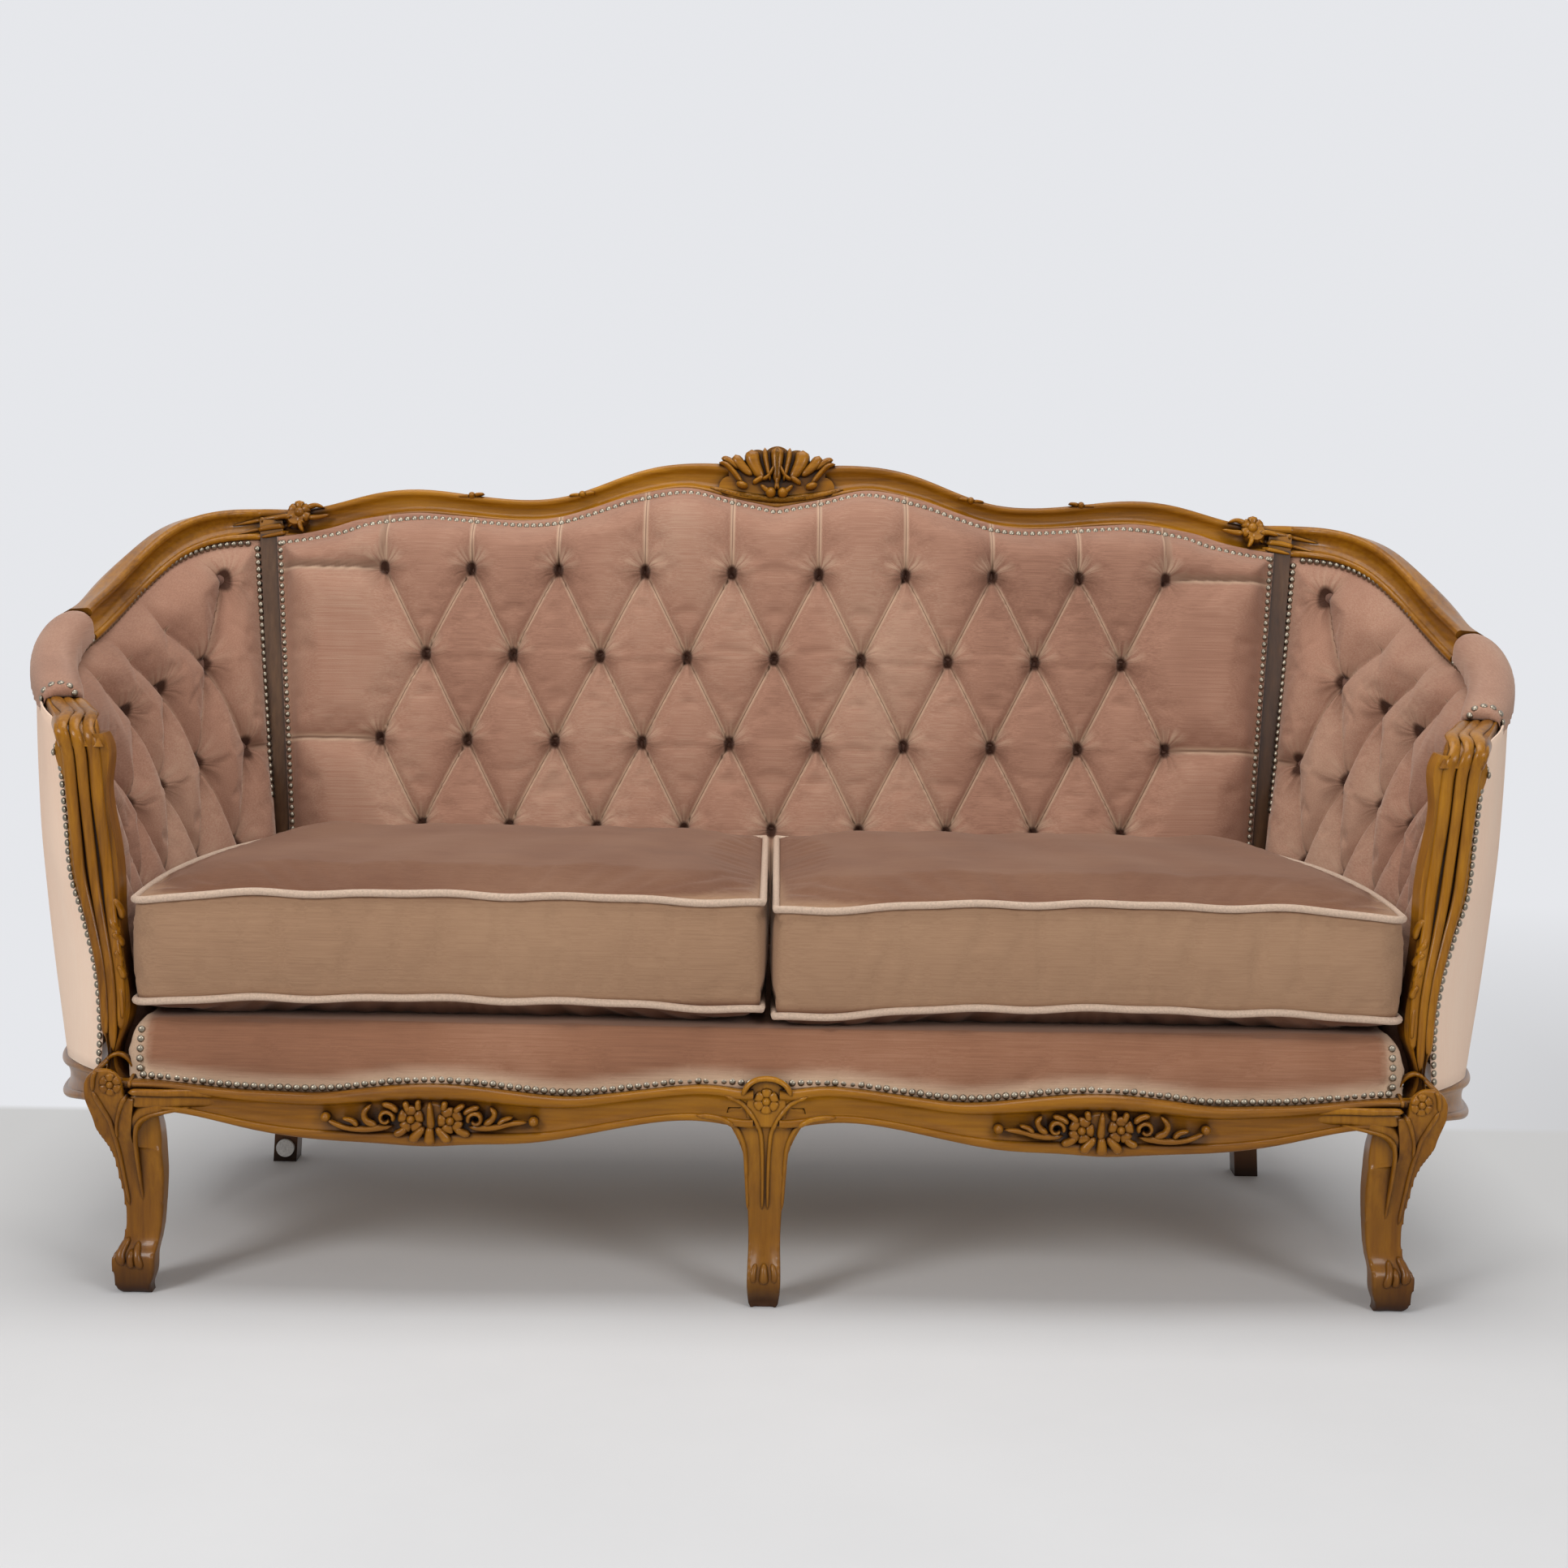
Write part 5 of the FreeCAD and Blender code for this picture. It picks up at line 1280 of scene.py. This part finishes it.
def fronds(parts, cast, rows, **shape):  # each row is a path, the width at both ends and the height
    for row in rows:
        frond(parts, cast, *row, **shape)


def bead(parts, cast, x, z, radius, high, sides=14, rings=5):  # a round boss
    base, outward = cast(x / 1000, z / 1000)
    side = Vector((1, 0, 0))
    up = outward.cross(side).normalized()
    points = []
    for k in range(rings + 1):
        turn = math.pi / 2 * (k - 1) / rings
        level = -carvedSink if k == 0 else high / 1000 * math.sin(turn)
        reach = radius / 1000 * (1.0 if k == 0 else math.cos(turn))
        for n in range(sides):
            angle = 2 * math.pi * n / sides
            points.append(base + side * (reach * math.cos(angle)) + up * (reach * math.sin(angle))
                          + outward * level)
    points.append(base + outward * (high / 1000))
    top = rings * sides
    faces = tubeFaces(rings + 1, sides)[:-1]
    faces += [(top + n, top + (n + 1) % sides, len(points) - 1) for n in range(sides)]
    parts.append((points, faces))


def daisy(parts, cast, x, z, radius, petals, high, middle=0.34, turn=0.0, groove=0.55):
    width = 2 * math.pi * radius / petals
    for k in range(petals):
        angle = turn + 2 * math.pi * k / petals
        way = (math.cos(angle), math.sin(angle))
        path = [(x + way[0] * radius * r, z + way[1] * radius * r) for r in (0.2, 0.6, 1.0)]
        frond(parts, cast, path, width * 0.5, width * 1.0, high, groove, steps=9, blunt=0.4)
    bead(parts, cast, x, z, radius * middle, high * 1.35)


def curl(x, z, radius, start, turns, end=0.35, count=9):  # points of a scroll that winds in
    found = []
    for k in range(count):
        t = k / (count - 1)
        angle, r = start + 2 * math.pi * turns * t, radius * (1 + (end - 1) * t)
        found.append((x + r * math.cos(angle), z + r * math.sin(angle)))
    return found


def carved(name, parts, look, twin=True):  # joins carved parts, and their mirror images, into one piece
    points, faces = [], []
    for flip in (1, -1) if twin else (1,):
        for some, around in parts:
            first = len(points)
            points += [Vector((p.x * flip, p.y, p.z)) for p in some]
            faces += [tuple(first + k for k in f) for f in around]
    obj = faceOut(addMesh(name, points, faces), False)
    paint(obj, look)
    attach(obj, "frame")


def apronFace(x):  # front of the curved rail
    return -0.3713 - 0.01 * (1 - (x / 0.702) ** 2)


def onCrest(level):
    return lambda x, z: (onBack(x, z, level), planeOut)


def onApron(level):
    return lambda x, z: (Vector((x, apronFace(x) - level, z)), Vector((0, -1, 0)))


def onWood(trees, level, tilt=(0, -1, 0)):  # the wood seen from the front; a miss keeps the last depth
    last = [-0.36]
    outward = Vector(tilt).normalized()

    def cast(x, z):
        hit = firstHit(Vector((x, -0.8, z)), Vector((0, 1, 0)), trees)
        if hit:
            last[0] = hit[0].y
        return Vector((x, last[0] - level, z)), outward

    return cast


def onKnee(high, low):  # falls back down the leg from one depth to the other, and sinks into the rail
    def cast(x, z):
        fall, sunk = (low - high) * clipped((0.22 - z) / 0.12), 0.008 * clipped((0.668 - x) / 0.05)
        return Vector((x, high + fall + sunk, z)), Vector((0, -1, 0))

    return cast


def pressed(node, name, test, level):  # a copy of a rail with its plain boss set back to a level
    obj = faceOut(linked(name, nodes[node].data.copy()))
    for vertex in obj.data.vertices:
        if test(vertex.co):
            vertex.co = level(vertex.co)
    smoothByAngle(obj)
    bakeModifiers(obj)
    placePiece(obj, woods[0], "frame", node, slot="show_wood")


def standing(point):  # how far a point stands out of the leaning plane of the back
    return (point - onBack(point.x, point.z, 0)).dot(planeOut)


def pressBosses():
    pressed("crest_rail", "crestRail", lambda p: abs(p.x) < 0.083 and standing(p) > 0.0015,
            lambda p: p - planeOut * (standing(p) + 0.002))
    for word in ("Right", "Left"):
        pressed("front_rail_" + word.lower(), "frontRail" + word,
                lambda p: abs(abs(p.x) - 0.37) < 0.03 and p.y < apronFace(p.x) - 0.001,
                lambda p: Vector((p.x, apronFace(p.x) + 0.001, p.z)))


crestLook = {
    "shell": (
        ([(9, 924), (13, 942), (16, 956), (17, 970)], 6, 9, 12, 0.0),
        ([(17, 926), (27, 940), (33, 953), (35, 967)], 12, 25, 10, 0.4),
        ([(33, 932), (45, 942), (54, 952), (57, 960)], 10, 18, 8, 0.35),
        ([(50, 942), (61, 949), (70, 954), (76, 955)], 12, 9, 6, 0.3),
        ([(79, 949), (70, 947), (61, 939), (52, 928), (46, 920)], 7, 8, 10, 0.0),
        ([(4, 946), (8, 937), (13, 930), (21, 926)], 5, 7, 13, 0.0),
        ([(17, 931), (26, 926), (33, 921)], 9, 7, 11, 0.3),
        ([(0, 934), (0, 922), (3, 912)], 8, 5, 8, 0.0),
        ([(22, 920), (15, 914), (9, 910)], 5, 9, 9, 0.3)),
    "cornerLeaves": (
        ([(634, 865), (621, 866), (605, 869)], 9, 4, 7), ([(637, 878), (624, 882), (613, 879)], 9, 4, 7),
        ([(657, 866), (668, 866), (681, 862)], 9, 4, 7), ([(646, 862), (644, 853), (640, 846)], 9, 4, 7)),
    "postLeaves": (
        ([(656, 867), (680, 865), (706, 860), (736, 853)], 11, 4, 5),
        ([(656, 856), (680, 853), (704, 848), (728, 842)], 11, 4, 5),
        ([(660, 846), (680, 842), (698, 838)], 8, 4, 5)),
    "buds": ((264, 904), (414, 900))}


def crestCarving(look):
    parts, cast = [], onCrest(0.001)
    frond(parts, cast, [(0, 922), (0, 948), (0, 971)], 12, 22, 10, 0.3, blunt=0.25)
    fronds(parts, cast, look["shell"])
    frond(parts, cast, [(39, 917), (47, 919), (55, 922)], 11, 10, 12, 0.0, blunt=0.5)
    bead(parts, cast, 8, 910, 7.5, 11)
    cast = onCrest(-0.004)
    under = [(x, 1000 * crestBottom(math.hypot(x, 36) / 1000) + 8) for x in range(-90, 91, 10)]
    frond(parts, cast, under, 12, 12, 7, 0.0, steps=36)
    for x, z in look["buds"]:
        bead(parts, cast, x, z, 5, 8)
        frond(parts, cast, [(x - 3, z), (x - 10, z + 1.5), (x - 17, z + 2)], 6, 4, 8, 0.4)
        frond(parts, cast, [(x + 3, z - 1), (x + 10, z - 1), (x + 18, z - 2)], 6, 3, 7, 0.4)
    cast = onCrest(0.004)
    daisy(parts, cast, 646, 872, 16, 6, 6, 0.48, 0.5)
    fronds(parts, cast, look["cornerLeaves"], groove=0.45)
    cast = onWood(solidTree("crest_rail", "wing_rail_right", "rear_post_right"), 0.0, planeOut)
    fronds(parts, cast, look["postLeaves"], groove=0.3, steps=26)
    carved("crestCarving", parts, woods[0])


apronLook = {
    "daisies": ((393.7, 214.5, 0.3), (350.0, 213.5, 0.0)),
    "leaves": (
        ([(371, 203), (372, 218), (373, 234)], 11, 6, 11), ([(372, 208), (373, 196), (373, 184)], 9, 15, 10),
        ([(378, 206), (388, 196), (394, 188)], 9, 13, 9), ([(366, 206), (357, 196), (351, 188)], 9, 13, 9),
        ([(398, 205), (406, 199), (413, 197)], 9, 9, 8), ([(345, 205), (336, 200), (328, 198)], 9, 9, 8),
        ([(396, 222), (399, 229), (401, 234)], 8, 7, 8), ([(385, 224), (386, 231), (385, 236)], 8, 6, 8),
        ([(358, 224), (357, 229), (356, 235)], 8, 7, 8), ([(346, 222), (340, 228), (334, 231)], 8, 6, 8),
        ([(408, 222), (416, 228), (426, 231)], 8, 6, 8), ([(336, 221), (327, 226), (318, 229)], 8, 6, 7)),
    "stems": (
        ([(414, 206), (428, 204), (446, 202), (464, 203), (480, 208), (488, 213)], 9, 5, 8),
        ([(430, 206), (443, 211), (446, 220), (438, 230)], 9, 5, 8),
        ([(452, 205), (459, 211), (470, 214)], 7, 4, 8),
        ([(330, 207), (316, 206), (300, 207), (284, 211), (264, 213)], 9, 5, 8),
        ([(314, 209), (305, 214), (301, 222), (306, 229)], 9, 5, 8),
        ([(298, 209), (291, 215), (281, 218)], 7, 4, 8))}


def apronCarving(look):
    parts, cast = [], onApron(-0.001)
    for x, z, turn in look["daisies"]:
        daisy(parts, cast, x, z, 15, 5, 8, 0.36, turn)
    fronds(parts, cast, look["leaves"], groove=0.3)
    for path in (curl(421.5, 215, 9, 3.6, -1.1), curl(322, 215, 9, -0.5, 1.1)):
        frond(parts, cast, path, 6, 5, 9, 0.0, steps=22, blunt=0.12)
    fronds(parts, cast, look["stems"], groove=0.35)
    for x, z in ((489, 214.5), (258, 213.5)):
        bead(parts, cast, x, z, 5.5, 7)
    carved("apronCarving", parts, woods[0])


legLook = {"voxel": 0.0024, "soften": 7, "middle": 0.7265, "top": 0.245, "taper": 0.055, "front": -0.3795}


def makeLegs(look):  # the front legs, with the carver's rounding, in place of the plain solids
    leg = softCopy("front_leg_right", "frontLegRight", look["voxel"])
    points = coordinates(leg.data)
    slope = np.clip((look["top"] - points[:, 2]) / look["taper"], 0, 1)
    slope = slope * slope * (3 - 2 * slope)
    points[:, 1] = np.maximum(points[:, 1], look["front"] + 0.017 * slope)
    block = (points[:, 1] < -0.352) & (points[:, 2] > 0.17)
    reach, middle = (0.0235 - 0.007 * slope)[block], look["middle"]
    points[block, 0] = np.clip(points[block, 0], middle - reach * 1.1, middle + reach * 1.3)
    setCoordinates(leg.data, points)
    soften = leg.modifiers.new("soften", "SMOOTH")
    soften.iterations, soften.factor = look["soften"], 0.5
    bakeModifiers(leg)
    centre = softCopy("front_leg_centre", "frontLegCentre", look["voxel"])
    twin = mirrored(leg, "frontLegLeft")
    for obj, node in ((leg, "front_leg_right"), (twin, "front_leg_left"), (centre, "front_leg_centre")):
        placePiece(obj, woods[2], "frame", node, slot="show_wood")
    return [BVHTree.FromObject(obj, bpy.context.evaluated_depsgraph_get()) for obj in (leg, centre)]


def evened(line, count):  # rounds a cast line's corners and evens its steps
    for _ in range(3):
        line = [line[0]] + [((a[0] + b[0] * 2 + c[0]) / 4, (a[1] + b[1] * 2 + c[1]).normalized())
                            for a, b, c in zip(line, line[1:], line[2:])] + [line[-1]]
    reach = [0.0]
    for a, b in zip(line, line[1:]):
        reach.append(reach[-1] + (b[0] - a[0]).length)
    found = []
    for k in range(count):
        want = reach[-1] * k / (count - 1)
        n = max(i for i, r in enumerate(reach[:-1]) if r <= want + 1e-12)
        share = (want - reach[n]) / max(reach[n + 1] - reach[n], 1e-9)
        a, b = line[n], line[n + 1]
        found.append((a[0].lerp(b[0], share), a[1].lerp(b[1], share).normalized()))
    return found


ridgeLook = {"steps": 60, "sides": 12, "high": 0.0042, "sink": 0.004, "spread": 0.021, "end": 0.06,
             "hand": (0.778, -0.284, 0.634), "ribs": ((-0.64, 17), (0.0, 15), (0.64, 17)), "padTo": 0.08,
             "rollTo": 0.3}


def ridgeRay(share, t, look):  # start and direction of the ray that finds a ridge's place at t from its top
    hand, aside = Vector(look["hand"]), share * look["spread"]
    if t < look["padTo"]:  # on top, from the end of the pad
        back = 0.055 * (1 - t / look["padTo"])
        x = hand.x + 0.084 * curveValue([(0, 0), (0.03, 0.1), (0.14, 0.33), (0.3, 0.58)], back / 0.33)
        return Vector((x + aside, hand.y + back, 0.8)), Vector((0, 0, 1))
    if t < look["rollTo"]:  # over the roll
        turn = math.radians(90 - 98 * (t - look["padTo"]) / (look["rollTo"] - look["padTo"]))
        way = Vector((0, -math.cos(turn), math.sin(turn)))
        return hand + Vector((aside, 0, 0)) + way * 0.12, way
    z = 0.632 - (t - look["rollTo"]) / (1 - look["rollTo"]) * 0.36
    return Vector((supportX(z, 0.024 * share), -0.5, z)), Vector((0, -1, 0))


def ridges(look):  # rounded ridges from the arm pad's end, over the hand and down the support
    trees, parts = solidTree("arm_support_right", "arm_rail_right"), []
    for share, wide in look["ribs"]:
        def shape(t, across, lift):
            taper = blunted(t, look["end"], look["end"])
            rise = (look["high"] if lift > 0 else look["sink"]) * lift * taper
            return wide * (1 - 0.35 * t) * taper / 2000 * across, rise

        rays = [ridgeRay(share, t, look) for t in between((0, 1), look["steps"])]
        hits = [(firstHit(start, -way, trees), way) for start, way in rays]
        line = evened([(hit[0], way) for hit, way in hits if hit], look["steps"])
        rib(parts, line, look["sides"], shape)
    carved("armRidges", parts, woods[2])


kneeLook = {
    "knee": (
        ([(668, 222), (690, 216), (704, 205), (711, 190), (713, 175)], 20, 20, 7, (-0.366, -0.305)),
        ([(612, 227), (640, 228.5), (670, 229), (708, 229)], 17, 17, 3, (-0.3705, -0.37)),
        ([(612, 236), (640, 238), (670, 238.5), (708, 239)], 9, 8, 4, (-0.375, -0.374)),
        ([(640, 221), (664, 217), (688, 210.5), (700, 201), (704, 187), (704.5, 165), (703, 130), (701, 100)],
         6, 4, 5, (-0.371, -0.333))),  # the last pair is each rib's depth at its top and foot
    "veins": (
        ([(746, 240), (745, 256), (739, 268), (729, 273), (718, 268), (710.5, 257), (706, 240)], 6, 6, 4.5),
        ([(746.5, 242), (742, 231), (737, 219), (731, 204), (727, 183), (724, 160), (720, 130), (716, 100)],
         7, 4, 4),
        ([(705.5, 241), (714, 228), (720, 214), (724, 199), (724.5, 182)], 7, 4, 4)),
    "foot": (
        ([(716, 64), (722, 54), (725, 44), (722, 33)], 9, 13, 7),
        ([(706, 60), (707, 48), (705, 38), (701, 29)], 9, 12, 7),
        ([(712, 52), (714, 40), (712, 30)], 8, 10, 8)),
    "support": (
        ([(738, 446), (732, 434), (728, 421)], 6, 11, 7), ([(742, 428), (736, 414), (731, 405)], 6, 10, 6),
        ([(737, 408), (731, 400), (727, 391)], 6, 10, 8), ([(735, 390), (730, 381), (727, 373)], 6, 9, 6),
        ([(730, 372), (726, 364), (724, 356)], 6, 10, 8), ([(729, 352), (726, 335), (724, 312)], 6, 5, 5),
        ([(740, 340), (736, 318), (735, 296)], 5, 4, 3)),
    "centreVeins": (
        [(46, 247), (30, 239), (19, 228), (11, 215), (6, 203), (4, 183), (3, 150), (3, 110)],
        [(78, 224), (58, 222), (45, 218.5), (34, 210), (27, 197), (23, 182), (21, 150), (19, 110)]),
    "centreFoot": (
        ([(0, 52), (0, 40), (0, 28)], 8, 14, 7), ([(-9, 52), (-12, 40), (-12, 30)], 7, 9, 5),
        ([(9, 52), (12, 40), (12, 30)], 7, 9, 5))}


def kneeCarving(legs, look):
    parts, flat = [], onWood(legs + solidTree("front_rail_right", "arm_support_right"), -0.0008)
    daisy(parts, flat, 726.5, 248, 13, 6, 5, 0.36, 0.5)
    for path, wide, narrow, high, depths in look["knee"]:
        frond(parts, onKnee(*depths), path, wide, narrow, high, 0.0, steps=30, blunt=0.1)
    fronds(parts, flat, look["veins"], steps=26, blunt=0.1)
    fronds(parts, onWood(legs, -0.002), look["foot"], groove=0.2)
    fronds(parts, onWood(solidTree("arm_support_right"), 0.0), look["support"], groove=0.2)
    carved("kneeCarving", parts, woods[2])


def centreCarving(legs, look):
    parts, flat = [], onWood(legs + solidTree("front_rail_right", "front_rail_left"), -0.0008)
    daisy(parts, flat, 0, 240, 15, 6, 5, 0.36, 0.5)
    over = [(-27, 247), (-21, 258), (-12, 264.5), (0, 266.5), (12, 264.5), (22, 258), (28, 247)]
    frond(parts, flat, over, 6, 6, 5, 0.0, steps=24, blunt=0.1)
    for side in (-1, 1):
        for vein in look["centreVeins"]:
            frond(parts, flat, [(side * x, z) for x, z in vein], 7, 4, 4, 0.0, steps=30, blunt=0.1)
    for row in look["centreFoot"]:
        frond(parts, onWood(legs, -0.002), *row, 0.2)
    carved("centreCarving", parts, woods[2], False)


pressBosses()
crestCarving(crestLook)
apronCarving(apronLook)
frontLegs = makeLegs(legLook)
kneeCarving(frontLegs, kneeLook)
centreCarving(frontLegs, kneeLook)
ridges(ridgeLook)
print("carving")
